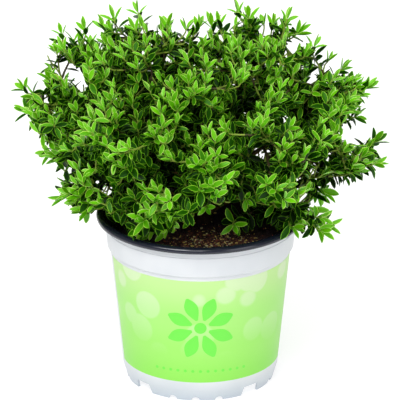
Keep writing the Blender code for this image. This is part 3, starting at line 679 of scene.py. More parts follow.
def finish_piece(obj, materials, nodes=(), smooth=True, crease=None):
    """Give a piece its materials and its body, and say what it replaces.

    Edges that turn by more than the crease (degrees) stay sharp.
    """
    for material in materials:
        obj.data.materials.append(material)
    if smooth:
        obj.data.shade_smooth()
    if crease:
        obj.data.set_sharp_from_angle(angle=math.radians(crease))
    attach(obj, "root")
    if nodes:
        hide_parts(*nodes)
    return obj


def link_object(name, data):
    obj = bpy.data.objects.new(name, data)
    bpy.context.scene.collection.objects.link(obj)
    return obj


def add_object(name, vertices, faces):
    mesh = bpy.data.meshes.new(name)
    mesh.from_pydata([tuple(v) for v in vertices], [], faces)
    mesh.update()
    return link_object(name, mesh)


def append_shape(vertices, faces, shape_vertices, shape_faces):
    """Add a shape to the vertices and faces of a joined mesh."""
    first = len(vertices)
    vertices += shape_vertices
    faces += [tuple(first + index for index in face) for face in shape_faces]


def face_outward(obj):
    work = bmesh.new()
    work.from_mesh(obj.data)
    bmesh.ops.recalc_face_normals(work, faces=work.faces)
    work.to_mesh(obj.data)
    work.free()


def apply_modifiers(obj):
    graph = bpy.context.evaluated_depsgraph_get()
    result = bpy.data.meshes.new_from_object(obj.evaluated_get(graph))
    obj.modifiers.clear()
    old = obj.data
    obj.data = result
    bpy.data.meshes.remove(old)


def ring_faces(first, second, count):
    return [
        (first + k, first + (k + 1) % count, second + (k + 1) % count, second + k)
        for k in range(count)
    ]


def stacked_rings(rings):
    """Vertices and faces of a closed body whose skin joins one ring of points to the next."""
    sides = len(rings[0])
    last = (len(rings) - 1) * sides
    faces = [tuple(range(sides - 1, -1, -1)), tuple(range(last, last + sides))]
    for k in range(len(rings) - 1):
        faces += ring_faces(k * sides, (k + 1) * sides, sides)
    return [point for ring in rings for point in ring], faces


def turned(name, profile, sides):
    """A body turned round the pot's axis from a (radius, height) outline."""
    vertices = []
    starts = []
    for radius, height in profile:
        starts.append(len(vertices))
        count = sides if radius else 1
        for k in range(count):
            turn = 2.0 * math.pi * k / sides
            vertices.append((radius * math.sin(turn), -radius * math.cos(turn), height))
    pairs = list(zip(range(len(profile)), range(1, len(profile))))
    if profile[0][0]:
        pairs.append((len(profile) - 1, 0))
    faces = []
    for a, b in pairs:
        if profile[a][0] and profile[b][0]:
            faces += ring_faces(starts[a], starts[b], sides)
        else:
            pole, ring = (a, b) if not profile[a][0] else (b, a)
            faces += [
                (starts[pole], starts[ring] + k, starts[ring] + (k + 1) % sides)
                for k in range(sides)
            ]
    obj = add_object(name, vertices, faces)
    face_outward(obj)
    return obj


def cut_away(obj, cutters):
    """Subtract the cutters from the object, and remove them."""
    tools = bpy.data.collections.new("tools")
    bpy.context.scene.collection.children.link(tools)
    for cutter in cutters:
        bpy.context.scene.collection.objects.unlink(cutter)
        tools.objects.link(cutter)
    modifier = obj.modifiers.new("cut", "BOOLEAN")
    modifier.operand_type = "COLLECTION"
    modifier.collection = tools
    modifier.operation = "DIFFERENCE"
    modifier.solver = "EXACT"
    apply_modifiers(obj)
    for cutter in cutters:
        bpy.data.objects.remove(cutter, do_unlink=True)
    bpy.data.collections.remove(tools)


# The pot

def wall_radius(height):
    return WALL_RADIUS_AT_GROUND + WALL_TAPER * height


def band_radius(height):
    return BAND_RADIUS + BAND_TAPER * (height - LEDGE_HEIGHT)


def lining_outer_radius(height):
    return band_radius(height) - BAND_THICKNESS - GAP


def lining_inner_radius(height):
    return lining_outer_radius(height) - LINING_THICKNESS


def foot_cutter(outline, turn):
    rotation = Matrix.Rotation(turn - math.pi / 2.0, 4, "Z")
    rings = [
        [rotation @ Vector((radius, across, up)) for across, up in outline]
        for radius in (FOOT_RADIUS - CUT_INWARD, FOOT_SHOULDER_RADIUS + CUT_OUTWARD)
    ]
    cutter = add_object("foot_cutter", *stacked_rings(rings))
    face_outward(cutter)
    return cutter


def foot_cutters():
    gap_outline = (
        (-GAP_HALF_WIDTH_LOW, -CUT_BELOW),
        (GAP_HALF_WIDTH_LOW, -CUT_BELOW),
        (GAP_HALF_WIDTH_HIGH, FOOT_HEIGHT - GAP_ROOF),
        (-GAP_HALF_WIDTH_HIGH, FOOT_HEIGHT - GAP_ROOF),
    )
    notch_outline = [(NOTCH_RADIUS, -CUT_BELOW)]
    for k in range(NOTCH_ARC_STEPS + 1):
        turn = math.pi * k / NOTCH_ARC_STEPS
        notch_outline.append((NOTCH_RADIUS * math.cos(turn), NOTCH_RADIUS * math.sin(turn)))
    notch_outline.append((-NOTCH_RADIUS, -CUT_BELOW))
    cutters = []
    for foot in range(FOOT_COUNT):
        middle = FOOT_TURN + foot * 2.0 * math.pi / FOOT_COUNT
        cutters.append(foot_cutter(gap_outline, middle + math.pi / FOOT_COUNT))
        for notch in (-1, 0, 1):
            cutters.append(foot_cutter(notch_outline, middle + notch * NOTCH_STEP))
    return cutters


def drain_cutters():
    cutters = []
    for hole in range(FOOT_COUNT):
        turn = FOOT_TURN + (hole + 0.5) * 2.0 * math.pi / FOOT_COUNT
        centre = DRAIN_CENTRE_RADIUS * bearing_vector(turn, 0.0)
        rings = []
        for height in (FOOT_HEIGHT - DRAIN_OVERRUN, FOOT_HEIGHT + BASE_THICKNESS + DRAIN_OVERRUN):
            spins = [2.0 * math.pi * k / DRAIN_SIDES for k in range(DRAIN_SIDES)]
            rings.append([
                centre + DRAIN_RADIUS * bearing_vector(spin, 0.0) + UP * height for spin in spins
            ])
        cutter = add_object("drain_cutter", *stacked_rings(rings))
        face_outward(cutter)
        cutters.append(cutter)
    return cutters


def make_shell():
    """The white shell, with rounded edges and the faint line round its band."""
    base_top = FOOT_HEIGHT + BASE_THICKNESS
    pocket_height = LINING_BOTTOM - GAP
    profile = [
        (0.0, FOOT_HEIGHT),
        (FOOT_SHOULDER_RADIUS - WALL_THICKNESS, FOOT_HEIGHT),
        (FOOT_RADIUS - WALL_THICKNESS, 0.0),
        (FOOT_RADIUS, 0.0),
        (FOOT_SHOULDER_RADIUS, FOOT_SHOULDER_HEIGHT),
        (wall_radius(WALL_START_HEIGHT), WALL_START_HEIGHT),
        (wall_radius(LEDGE_HEIGHT - LEDGE_CHAMFER), LEDGE_HEIGHT - LEDGE_CHAMFER),
        (BAND_RADIUS, LEDGE_HEIGHT),
        (band_radius(BAND_LINE_HEIGHT), BAND_LINE_HEIGHT - BAND_LINE_STEP),
        (band_radius(BAND_LINE_HEIGHT) - BAND_LINE_STEP, BAND_LINE_HEIGHT - BAND_LINE_STEP / 3.0),
        (band_radius(BAND_LINE_HEIGHT) - BAND_LINE_STEP, BAND_LINE_HEIGHT + BAND_LINE_STEP / 3.0),
        (band_radius(BAND_LINE_HEIGHT), BAND_LINE_HEIGHT + BAND_LINE_STEP),
        (band_radius(SHELL_HEIGHT), SHELL_HEIGHT),
        (band_radius(SHELL_HEIGHT) - BAND_THICKNESS, SHELL_HEIGHT),
        (band_radius(pocket_height) - BAND_THICKNESS, pocket_height),
        (wall_radius(pocket_height) - WALL_THICKNESS, pocket_height),
        (wall_radius(base_top) - WALL_THICKNESS, base_top),
        (0.0, base_top),
    ]
    shell = turned("pot_shell_finish", profile, TURNED_SIDES)
    cut_away(shell, foot_cutters() + drain_cutters())
    finish_piece(shell, [white_plastic()], ["pot_shell"], crease=28.0)


def make_rim():
    bulge = (RIM_RADIUS - RIM_INNER_RADIUS) / 2.0
    middle = (RIM_RADIUS + RIM_INNER_RADIUS) / 2.0
    rolled = []
    for k in range(ROLL_STEPS + 1):
        turn = math.pi * k / ROLL_STEPS
        height = RIM_SPRING + (RIM_TOP - RIM_SPRING) * math.sin(turn)
        rolled.append((middle + bulge * math.cos(turn), height))
    profile = [
        (lining_outer_radius(LINING_BOTTOM), LINING_BOTTOM),
        (lining_outer_radius(RIM_UNDERSIDE), RIM_UNDERSIDE),
        (RIM_RADIUS - RIM_LIP_SET_BACK, RIM_UNDERSIDE),
        (RIM_RADIUS - RIM_LIP_SET_BACK / 3.0, RIM_UNDERSIDE + RIM_LIP_SET_BACK / 3.0),
        *rolled,
        (lining_inner_radius(LINING_TOP) + LINING_THICKNESS, LINING_TOP + LINING_THICKNESS),
        (lining_inner_radius(LINING_TOP), LINING_TOP),
        (lining_inner_radius(LINING_BOTTOM), LINING_BOTTOM),
    ]
    rim = turned("pot_rim_finish", profile, TURNED_SIDES)
    finish_piece(rim, [black_plastic()], ["pot_rim"], crease=50.0)


def on_wall(bearing, height, lift):
    """A point a little off the pot's wall."""
    point = bearing_vector(bearing, 0.0) * (wall_radius(height) + lift)
    return Vector((point.x, point.y, height))


def grid_faces(rows, columns):
    """Quads of a grid of points that is listed row by row."""
    faces = []
    for row in range(rows - 1):
        for column in range(columns - 1):
            corner = row * columns + column
            faces.append((corner, corner + 1, corner + columns + 1, corner + columns))
    return faces


def thicken(obj, thickness):
    """Turn a sheet into a thin closed body that reaches inward from it."""
    modifier = obj.modifiers.new("thickness", "SOLIDIFY")
    modifier.thickness = thickness
    modifier.offset = -1.0
    apply_modifiers(obj)


def make_label():
    """The two light-green panels printed round the wall."""
    vertices = []
    faces = []
    for middle in LABEL_MIDDLES:
        panel = []
        for row in range(LABEL_ROWS):
            height = LABEL_LOW + (LABEL_HIGH - LABEL_LOW) * row / (LABEL_ROWS - 1)
            for column in range(LABEL_COLUMNS):
                share = 2.0 * column / (LABEL_COLUMNS - 1) - 1.0
                panel.append(on_wall(middle + share * LABEL_HALF_WIDTH, height, LABEL_LIFT))
        append_shape(vertices, faces, panel, grid_faces(LABEL_ROWS, LABEL_COLUMNS))
    label = add_object("pot_label", vertices, faces)
    thicken(label, 2.0 * LABEL_LIFT)
    finish_piece(label, [label_print()], crease=40.0)


def motif_point(middle, across, height):
    return on_wall(middle + across / wall_radius(height), height, LABEL_LIFT + MOTIF_LIFT)


def petal(middle, spin):
    """One petal of the daisy, laid on the wall: its points and faces."""
    points = []
    for row in range(PETAL_ROWS):
        share = row / (PETAL_ROWS - 1)
        along = DAISY_INNER + DAISY_PETAL_LENGTH * share
        half = DAISY_PETAL_WIDTH / 2.0 * math.sin(math.pi * (0.10 + 0.86 * share) ** 1.25)
        for column in range(PETAL_COLUMNS):
            side = half * (2.0 * column / (PETAL_COLUMNS - 1) - 1.0)
            across = along * math.sin(spin) + side * math.cos(spin)
            up = along * math.cos(spin) - side * math.sin(spin)
            points.append(motif_point(middle, across, DAISY_HEIGHT + up))
    return points, grid_faces(PETAL_ROWS, PETAL_COLUMNS)


def disc(middle, height, radius):
    """A round spot, laid on the wall: its points and faces."""
    points = [motif_point(middle, 0.0, height)]
    for share in (0.5, 1.0):
        for k in range(DISC_SIDES):
            turn = 2.0 * math.pi * k / DISC_SIDES
            across = radius * share * math.sin(turn)
            points.append(motif_point(middle, across, height + radius * share * math.cos(turn)))
    faces = [(0, 1 + k, 1 + (k + 1) % DISC_SIDES) for k in range(DISC_SIDES)]
    return points, faces + ring_faces(1, 1 + DISC_SIDES, DISC_SIDES)


def face_off_wall(obj):
    """Turn the faces of a sheet that lies on the wall away from the pot's axis."""
    work = bmesh.new()
    work.from_mesh(obj.data)
    for face in work.faces:
        outward = face.calc_center_median()
        outward.z = 0.0
        if face.normal.dot(outward) < 0.0:
            face.normal_flip()
    work.to_mesh(obj.data)
    work.free()


def make_motif():
    """A plain daisy and a row of dots on each panel."""
    vertices = []
    faces = []
    for middle in LABEL_MIDDLES:
        centre = middle + MOTIF_TURN
        for k in range(DAISY_PETALS):
            append_shape(vertices, faces, *petal(centre, 2.0 * math.pi * (k + 0.5) / DAISY_PETALS))
        append_shape(vertices, faces, *disc(centre, DAISY_HEIGHT, DAISY_CENTRE))
        for k in range(DOT_COUNT):
            turn = centre + (k - (DOT_COUNT - 1) / 2.0) * DOT_STEP
            append_shape(vertices, faces, *disc(turn, DOT_HEIGHT, DOT_RADIUS))
    motif = add_object("label_motif", vertices, faces)
    face_off_wall(motif)
    thicken(motif, MOTIF_THICKNESS)
    finish_piece(motif, [motif_print()], crease=40.0)


# The soil

def soil_height(x, y):
    """The soil's top at a place: gentle mounds, lumps and fine grit."""
    waves = [
        share * noise.noise(Vector((x * scale, y * scale, start))) for scale, start, share in SOIL_WAVES
    ]
    return SOIL_TOP + SOIL_BUMP * sum(waves)


def make_soil():
    low = FOOT_HEIGHT + BASE_THICKNESS + GAP
    edge = lining_inner_radius(SOIL_TOP) - GAP
    profile = [
        (0.0, low),
        (wall_radius(low) - WALL_THICKNESS - GAP, low),
        (wall_radius(LINING_BOTTOM - GAP) - WALL_THICKNESS - GAP, LINING_BOTTOM),
        (lining_inner_radius(LINING_BOTTOM) - GAP, LINING_BOTTOM),
    ]
    top = [(edge * k / SOIL_RINGS, SOIL_TOP) for k in range(SOIL_RINGS, -1, -1)]
    soil = turned("soil_surface", profile + top, SOIL_SIDES)
    for vertex in soil.data.vertices:
        if vertex.co.z > SOIL_TOP - GAP:
            vertex.co.z = soil_height(vertex.co.x, vertex.co.y)
    finish_piece(soil, [soil_earth()], ["soil"])


def unit_ball():
    """The vertices and faces of a coarse ball of radius 1."""
    ball = bmesh.new()
    bmesh.ops.create_icosphere(ball, subdivisions=1, radius=1.0)
    corners = [v.co.copy() for v in ball.verts]
    faces = [[v.index for v in face.verts] for face in ball.faces]
    ball.free()
    return corners, faces


def painted_soil_light(place):
    """How fully a place on the soil is painted lit, from 0.1 in the painted shade to 1 in the pool of
    light at the front.
    """
    shade_share = ((place - LIT_SOIL_SPOT).length - LIT_SOIL_REACHES[0]) / (LIT_SOIL_REACHES[1] - LIT_SOIL_REACHES[0])
    return 1.0 - 0.9 * min(1.0, max(0.0, shade_share))


def make_crumbs():
    """Loose crumbs of soil, bark chips and pale specks on top of it."""
    rng = random.Random(CRUMB_SEED)
    corners, ball_faces = unit_ball()
    edge = lining_inner_radius(SOIL_TOP) - 2.0 * GAP
    vertices = []
    faces = []
    kinds = []
    for _ in range(CRUMB_TRIES):
        size = rng.uniform(*CRUMB_SIZES) * rng.uniform(0.6, 1.0)
        across = (edge - 1.6 * size) * math.sqrt(rng.random())
        turn = rng.uniform(0.0, 2.0 * math.pi)
        x, y = across * math.sin(turn), -across * math.cos(turn)
        place = Vector((x, y, soil_height(x, y) + size * 0.25))
        # crumbs thin out and turn dark away from the painted pool of light, and the light specks gather
        # in it
        lit_share = painted_soil_light(place)
        if rng.random() > 0.4 + 0.6 * lit_share:
            continue
        stretch = Vector((rng.uniform(1.2, 2.2), rng.uniform(0.5, 1.0), rng.uniform(0.4, 0.9))) * size
        axis = bearing_vector(rng.uniform(0.0, 2.0 * math.pi), rng.uniform(-1.5, 1.5))
        spin = Quaternion(axis, rng.uniform(0.0, 2.0 * math.pi))
        points = []
        for corner in corners:
            wobble = rng.uniform(0.75, 1.2)
            points.append(place + spin @ Vector(c * s * wobble for c, s in zip(corner, stretch)))
        append_shape(vertices, faces, points, ball_faces)
        shares = [0.9 - 0.6 * lit_share] + [share * lit_share for share in LIT_CRUMB_SHARES]
        kind = rng.choices(range(len(shares)), shares)[0]
        kinds += [kind] * len(ball_faces)
    crumbs = add_object("soil_crumbs", vertices, faces)
    materials = [crumb(name, base) for name, base in CRUMB_COLOURS.items()]
    finish_piece(crumbs, materials, smooth=False)
    crumbs.data.polygons.foreach_set("material_index", kinds)


# Stems

def smooth_path(start, leaving, end, arriving, count):
    """Points along a curve that leaves and arrives in the given directions."""
    pull = (end - start).length * CURVE_PULL
    return interpolate_bezier(start, start + leaving * pull, end - arriving * pull, end, count)


def path_directions(points):
    last = len(points) - 1
    return [
        (points[min(k + 1, last)] - points[max(k - 1, 0)]).normalized()
        for k in range(len(points))
    ]


def path_sides(points):
    """A direction square to the path at each of its points, carried along without twist."""
    directions = path_directions(points)
    sides = [directions[0].orthogonal().normalized()]
    for before, after in zip(directions, directions[1:]):
        sides.append(before.rotation_difference(after) @ sides[-1])
    return sides


def point_along(points, share):
    place = share * (len(points) - 1)
    k = min(int(place), len(points) - 2)
    return points[k].lerp(points[k + 1], place - k), (points[k + 1] - points[k]).normalized()


def stem_point(share):
    middle = STEM_FOOT.lerp(STEM_TOP, 0.5) + STEM_BOW
    return STEM_FOOT.lerp(middle, share).lerp(middle.lerp(STEM_TOP, share), share)


def stem_radius(share):
    flare = (STEM_FLARE_RADIUS - STEM_RADIUS) * math.exp(-share * FLARE_DECAY)
    return STEM_RADIUS + (STEM_TOP_RADIUS - STEM_RADIUS) * share + flare


def stem_path():
    return [stem_point(share) for share in (0.0, 0.06, 0.16, 0.35, 0.6, 0.8, 1.0)]


def bough_paths():
    """The path and the two end radii of the main stem and of each bough, by name."""
    paths = {"main_stem": (stem_path(), STEM_RADIUS, STEM_TOP_RADIUS)}
    ready = sorted((m for m in MASSES if m.carrier), key=lambda m: m.carrier != "main_stem")
    for mass in ready:
        outward = DIRECTIONS[mass.name]
        gate = HEART + outward * mass.reach * GATE_SHARE
        start, carrier_direction = point_along(paths[mass.carrier][0], mass.share)
        leaving = ((gate - start).normalized() + carrier_direction * BOUGH_FOLLOW).normalized()
        arriving = (outward + UP * BOUGH_LIFT).normalized()
        points = smooth_path(start, leaving, gate, arriving, 5)
        from_stem = mass.carrier == "main_stem"
        radius = BOUGH_RADIUS_FROM_STEM if from_stem else BOUGH_RADIUS_FROM_BOUGH
        paths[mass.name] = (points, radius, BOUGH_TIP_RADIUS)
    return paths


def barked_tube(points, radii, vertices, faces):
    """A round limb with the bark's ridges and knots in its skin."""
    rings = []
    reach = 0.0
    directions = path_directions(points)
    sides = path_sides(points)
    for k, (point, radius) in enumerate(zip(points, radii)):
        if k:
            reach += (point - points[k - 1]).length
        ring = []
        for n in range(BARK_SIDES):
            turn = 2.0 * math.pi * n / BARK_SIDES
            out = Quaternion(directions[k], turn) @ sides[k]
            round_place = (math.cos(turn) * RIDGES_ROUND, math.sin(turn) * RIDGES_ROUND)
            ridge = noise.noise(Vector((*round_place, reach * RIDGES_ALONG)))
            knot = noise.noise(point * KNOT_SCALE)
            relief = BARK_RELIEF * min(1.0, radius / FULL_RELIEF_RADIUS) * (ridge + KNOT_SHARE * knot)
            ring.append(point + out * (radius + relief))
        rings.append(ring)
    append_shape(vertices, faces, *stacked_rings(rings))


def resampled(points, step):
    """Points at an even spacing along a smooth curve through the given ones."""
    lengths = [0.0]
    for a, b in zip(points, points[1:]):
        lengths.append(lengths[-1] + (b - a).length)
    count = max(3, int(lengths[-1] / step))
    result = []
    for k in range(count + 1):
        target = lengths[-1] * k / count
        n = min(sum(length < target for length in lengths[1:]), len(points) - 2)
        share = (target - lengths[n]) / (lengths[n + 1] - lengths[n])
        result.append(points[n].lerp(points[n + 1], share))
    for _ in range(3):
        inner = [(a + b * 2.0 + c) / 4.0 for a, b, c in zip(result, result[1:], result[2:])]
        result = [result[0]] + inner + [result[-1]]
    return result


def make_stem():
    count = int((STEM_TOP - STEM_FOOT).length / BARK_RING_STEP)
    shares = [k / count for k in range(count + 1)]
    points = [stem_point(share) for share in shares]
    radii = [stem_radius(share) for share in shares]
    points[0] = points[0] - UP * STEM_SUNK
    vertices = []
    faces = []
    barked_tube(points, radii, vertices, faces)
    stem = add_object("main_stem_bark", vertices, faces)
    face_outward(stem)
    # the main stem's bark is darker than the boughs': painted shade under the crown
    finish_piece(stem, [bark((30, 22, 16), (52, 38, 24), (80, 60, 36))], ["main_stem"])


def make_boughs(paths):
    vertices = []
    faces = []
    for name, (points, first_radius, last_radius) in paths.items():
        if name == "main_stem":
            continue
        fine = resampled(points, BARK_RING_STEP)
        barked_tube(fine, tapered(first_radius, last_radius, len(fine)), vertices, faces)
    boughs = add_object("boughs_bark", vertices, faces)
    face_outward(boughs)
    nodes = ["bough_" + name for name in paths if name != "main_stem"]
    finish_piece(boughs, [bark((54, 40, 22), (96, 74, 38), (136, 110, 58))], nodes)


# Shoots

# Tips and shoots carry how old their leaves are together with painted light and painted shade, as tint
# steps
Tip = namedtuple("Tip", "direction reach age growing held")
Shoot = namedtuple("Shoot", "points age held")


def direction_gap(direction, mass):
    return direction.angle(DIRECTIONS[mass.name])


def nearest_mass(direction):
    return min(MASSES, key=lambda mass: direction_gap(direction, mass))


def crown_reach(direction):
    """How far leaf tips reach in a direction: a blend of the masses' reach, lobed round each."""
    weights = [math.exp(-((direction_gap(direction, m) / REACH_BLEND) ** 2)) for m in MASSES]
    blend = sum(w * m.reach for w, m in zip(weights, MASSES)) / sum(weights)
    off_middle = direction_gap(direction, nearest_mass(direction)) / LOBE_HALF_WIDTH
    return blend * (1.0 - LOBE_DEPTH * off_middle**2)


def underside_rise(direction):
    """The lowest rise of the crown: drooping at the sides, lifted at the front to show the soil."""
    frontward = max(0.0, -direction.y / max(1e-6, math.hypot(direction.x, direction.y)))
    lift = frontward**UNDERSIDE_SHARPNESS
    return SIDE_UNDERSIDE + (FRONT_UNDERSIDE - SIDE_UNDERSIDE) * lift


def clear_of_pot(point):
    """True above the rim, outside it, or inside it and above the soil."""
    across = math.hypot(point.x, point.y)
    if point.z > RIM_TOP + POT_CLEARANCE or across > RIM_RADIUS + POT_CLEARANCE:
        return True
    return across < RIM_INNER_RADIUS - POT_CLEARANCE and point.z > SOIL_TOP + SOIL_BUMP


def picture_place(point):
    """How far right of the heart and above it (millimetres) the camera sees a point."""
    offset = (point - HEART) * 1000.0
    return offset.x, offset.dot(CAMERA_UP)


def inside(place, outline):
    """True for a place within a closed outline."""
    right, up = place
    within = False
    for (x1, y1), (x2, y2) in zip(outline, outline[1:] + outline[:1]):
        if (y1 > up) != (y2 > up) and right < x1 + (x2 - x1) * (up - y1) / (y2 - y1):
            within = not within
    return within


def in_spots(place, spots):
    return any(math.hypot(place[0] - x, place[1] - y) < radius for x, y, radius in spots)


def tone_change(place):
    """How many tint steps darker (painted shade) or paler (painted light) the leaves are made at a
    place, as the camera sees it.
    """
    return sum(change for x, y, radius, change in TONE_SPOTS if in_spots(place, [(x, y, radius)]))


def in_hollow(point):
    """True for a place in the outer part of the crown's front that the camera sees in a hollow."""
    offset = point - HEART
    if offset.dot(CAMERA_BACK) < 0.0 or not in_spots(picture_place(point), DARK_HOLLOWS):
        return False
    return offset.length > crown_reach(offset.normalized()) * HOLLOW_SHARE


def grown(direction, rng):
    """Which way a shoot's end grows: outward, and turned up more towards the crown's top."""
    lift = TWIG_LIFT + rng.uniform(0.0, LIFT_SPREAD) + LIFT_WITH_RISE * max(0.0, direction.z)
    return (direction + UP * lift).normalized()


def grown_at_outline(offset, rng, way=None):
    """Which way a shoot at the crown's outline grows, after the turns seen in the photo."""
    if way is None:
        place = math.degrees(math.atan2(offset.dot(CAMERA_UP), offset.x)) % 360.0
        places, turns = zip(*GROWTH_TURNS)
        way = np.interp(place - 360.0 if place > 270.0 else place, places, turns)
    turn = math.radians(way) + rng.gauss(0.0, OUTLINE_SWAY)
    across = CAMERA_RIGHT * math.cos(turn) + CAMERA_UP * math.sin(turn)
    return (across + CAMERA_BACK * rng.uniform(-OUTLINE_TILT, OUTLINE_TILT)).normalized()


def reach_within_edge(direction, reach):
    """The reach, cut back to keep a shoot's tip within the crown's edge; None if it can't be."""
    for share in tapered(1.0, 0.5, EDGE_STEPS):
        if inside(picture_place(HEART + direction * reach * share), CROWN_EDGE):
            return reach * share
    return None


def shade_age(point):
    """How many tint steps darker the painted shade low on the crown's front makes the leaves at a point.
    """
    if point.y >= HEART.y:
        return 0.0
    return min(1.0, max(0.0, (SHADE_TOP - picture_place(point)[1]) / SHADE_FADE)) * SHADE_AGE


def spread_tips(count, shares, age, turn_offset, rng):
    """Tips spread evenly over the crown, by the source's spiral, each within a share of its reach."""
    tips = []
    for k in range(count):
        up = 1.0 - (k + 0.5) * TIP_SPREAD / count
        level = math.sqrt(1.0 - up * up)
        turn = k * GOLDEN_ANGLE + turn_offset
        direction = Vector((level * math.cos(turn), level * math.sin(turn), up))
        sway = Vector([rng.gauss(0.0, DIRECTION_SWAY) for _ in range(3)])
        direction = (direction + sway).normalized()
        clump = noise.noise(direction * CLUMP_SCALE)
        if math.asin(direction.z) < underside_rise(direction) or clump < CLUMP_GAP:
            continue
        at_top = direction.z > TOP_RISE and shares is OUTER_SHARES
        share = rng.uniform(*(TOP_SHARES if at_top else shares)) + CLUMP_DEPTH * min(0.0, clump)
        reach = crown_reach(direction) * share
        # painted shade: darker tints in the clumps' dips, deeper in the crown, low on the front and in
        # the hollows
        darker = age - CLUMP_SHADE * min(0.0, clump) + rng.uniform(-AGE_SPREAD, AGE_SPREAD)
        darker += SHADE_WITH_DEPTH * (shares[1] - share)
        darker += shade_age(HEART + direction * reach)
        if in_hollow(HEART + direction * reach):
            reach *= HOLLOW_SHARE
            darker += HOLLOW_SHADE
        reach = reach_within_edge(direction, reach)
        if reach is None or reach < LEAST_REACH:
            continue
        tips.append(Tip(direction, reach, darker, grown(direction, rng), True))
    return tips


def outline_tips(rng):
    """Tips of the shoots that stand out of the crown's outline in the camera's view."""
    leaders = []
    companions = []
    for angle, millimetres, *way in OUTLINE_SHOOTS:
        for companion in range(1 + COMPANIONS):
            turn = math.radians(angle)
            reach = millimetres / 1000.0
            if companion:
                turn += math.radians(rng.uniform(-COMPANION_SWAY, COMPANION_SWAY))
                reach -= rng.uniform(*COMPANION_SET_BACK)
            offset = (CAMERA_RIGHT * math.cos(turn) + CAMERA_UP * math.sin(turn)) * reach
            offset -= CAMERA_BACK * rng.uniform(*OUTLINE_DEPTHS)
            direction = offset.normalized()
            age = rng.uniform(*OUTLINE_AGES)
            growing = grown_at_outline(offset, rng, *way)
            tip = Tip(direction, offset.length, age, growing, bool(companion))
            if not companion:
                leaders.append(tip)
            elif inside(picture_place(HEART + offset), CROWN_EDGE):
                companions.append(tip)
    return leaders, companions


def surface_offset(right, up, share):
    """The offset from the heart of the nearest place of the crown that the camera sees there."""
    across = (CAMERA_RIGHT * right + CAMERA_UP * up) / 1000.0
    for k in range(SURFACE_STEPS):
        offset = across + CAMERA_BACK * (SURFACE_START - SURFACE_START * k / SURFACE_STEPS)
        if offset.length < crown_reach(offset.normalized()) * share:
            return offset
    return across


def cluster_tips(rng):
    """Tips of the clusters of leading shoots on the crown's front."""
    tips = []
    for right, up in FRONT_CLUSTERS:
        for k in range(CLUSTER_SHOOTS):
            spread = CLUSTER_SPREAD * math.sqrt(k / (CLUSTER_SHOOTS - 1.0))
            turn = k * GOLDEN_ANGLE + right
            across = right + spread * math.cos(turn)
            height = up + CLUSTER_HEIGHTENING * spread * math.sin(turn)
            share = 1.0 - CLUSTER_UNEVENNESS * rng.random() - CLUSTER_ROUNDING * spread
            offset = surface_offset(across, height, share)
            direction = offset.normalized()
            age = rng.uniform(*CLUSTER_AGES)
            tips.append(Tip(direction, offset.length, age, grown(direction, rng), True))
    return tips


def low_tips():
    """Tips of the shoots that hang low over the pot's front."""
    tips = []
    for bearing, rise, reach in LOW_SHOOTS:
        direction = bearing_vector(math.radians(bearing), math.radians(rise))
        tips.append(Tip(direction, reach, LOW_SHOOT_AGES_AND_LIGHT[bearing < 180], direction, False))
    return tips


def shaded_tips(rng):
    """Tips of the dark short shoots that fill the crown's underside at the front."""
    tips = []
    for _ in range(SHADED_SHOOTS):
        direction = bearing_vector(rng.uniform(*SHADED_BEARINGS), rng.uniform(*SHADED_RISES))
        reach = reach_within_edge(direction, rng.uniform(*SHADED_REACHES))
        if reach is not None:
            growing = (direction + UP * rng.uniform(*SHADED_LIFTS)).normalized()
            tips.append(Tip(direction, reach, rng.uniform(*SHADED_AGES), growing, True))
    return tips


def edge_tips(rng):
    """Tips that fill the crown out to its edge, at the sides and the top."""
    tips = []
    edge = [Vector(corner) for corner in CROWN_EDGE]
    for before, after in zip(edge, edge[1:] + edge[:1]):
        for _ in range(int((after - before).length / EDGE_STEP)):
            right, up = before.lerp(after, rng.random()) * rng.uniform(*EDGE_SHARES)
            if up < LOWEST_EDGE and abs(right) < WIDEST_LOW_EDGE:
                continue
            offset = (CAMERA_RIGHT * right + CAMERA_UP * up) / 1000.0
            offset += CAMERA_BACK * rng.uniform(*EDGE_DEPTHS)
            direction = offset.normalized()
            age = rng.uniform(*EDGE_AGES)
            tips.append(Tip(direction, offset.length, age, grown_at_outline(offset, rng), True))
    return tips


def tips_by_mass():
    """Every shoot's tip, listed by the mass that it belongs to, with the leading ones first."""
    rng = random.Random(CROWN_SEED)
    outer = spread_tips(OUTER_SHOOTS, OUTER_SHARES, 0.0, 0.0, rng)
    inner = spread_tips(INNER_SHOOTS, INNER_SHARES, INNER_SHADE, INNER_TURN, rng)
    leaders, companions = outline_tips(rng)
    by_mass = {mass.name: [] for mass in MASSES}
    taken = []
    for mass in MASSES:
        direction = DIRECTIONS[mass.name]
        reach = reach_within_edge(direction, mass.reach * MASS_TIP_SHARE)
        reach = reach or mass.reach * SHORT_MASS_TIP_SHARE
        growing = (direction + UP * TWIG_LIFT).normalized()
        by_mass[mass.name].append(Tip(direction, reach, 0.0, growing, False))
    groups = (
        (leaders, 0.0), (low_tips(), 0.0), (cluster_tips(rng), CLUSTER_SPACING),
        (companions, EDGE_SPACING), (edge_tips(rng), EDGE_SPACING), (outer, TIP_SPACING),
        (shaded_tips(rng), TIP_SPACING), (inner, TIP_SPACING),
    )
    for group, spacing in groups:
        rng.shuffle(group)
        for tip in group:
            place = tip.direction * tip.reach
            if all((place - other).length > spacing for other in taken):
                taken.append(place)
                by_mass[nearest_mass(tip.direction).name].append(tip)
    return by_mass


def shoot_root(carriers, target):
    """The place on the carriers from which a new shoot reaches its target most naturally."""
    best = None
    for points, directions in carriers:
        for point, along in zip(points[:ROOT_POINTS], directions):
            aim = target - point
            length = max(aim.length, SHORTEST_SHOOT)
            cost = length * (1.0 + TURN_COST * (1.0 - aim.normalized().dot(along)))
            if best is None or cost < best[0]:
                best = (cost, point, along)
    return best[1], best[2]


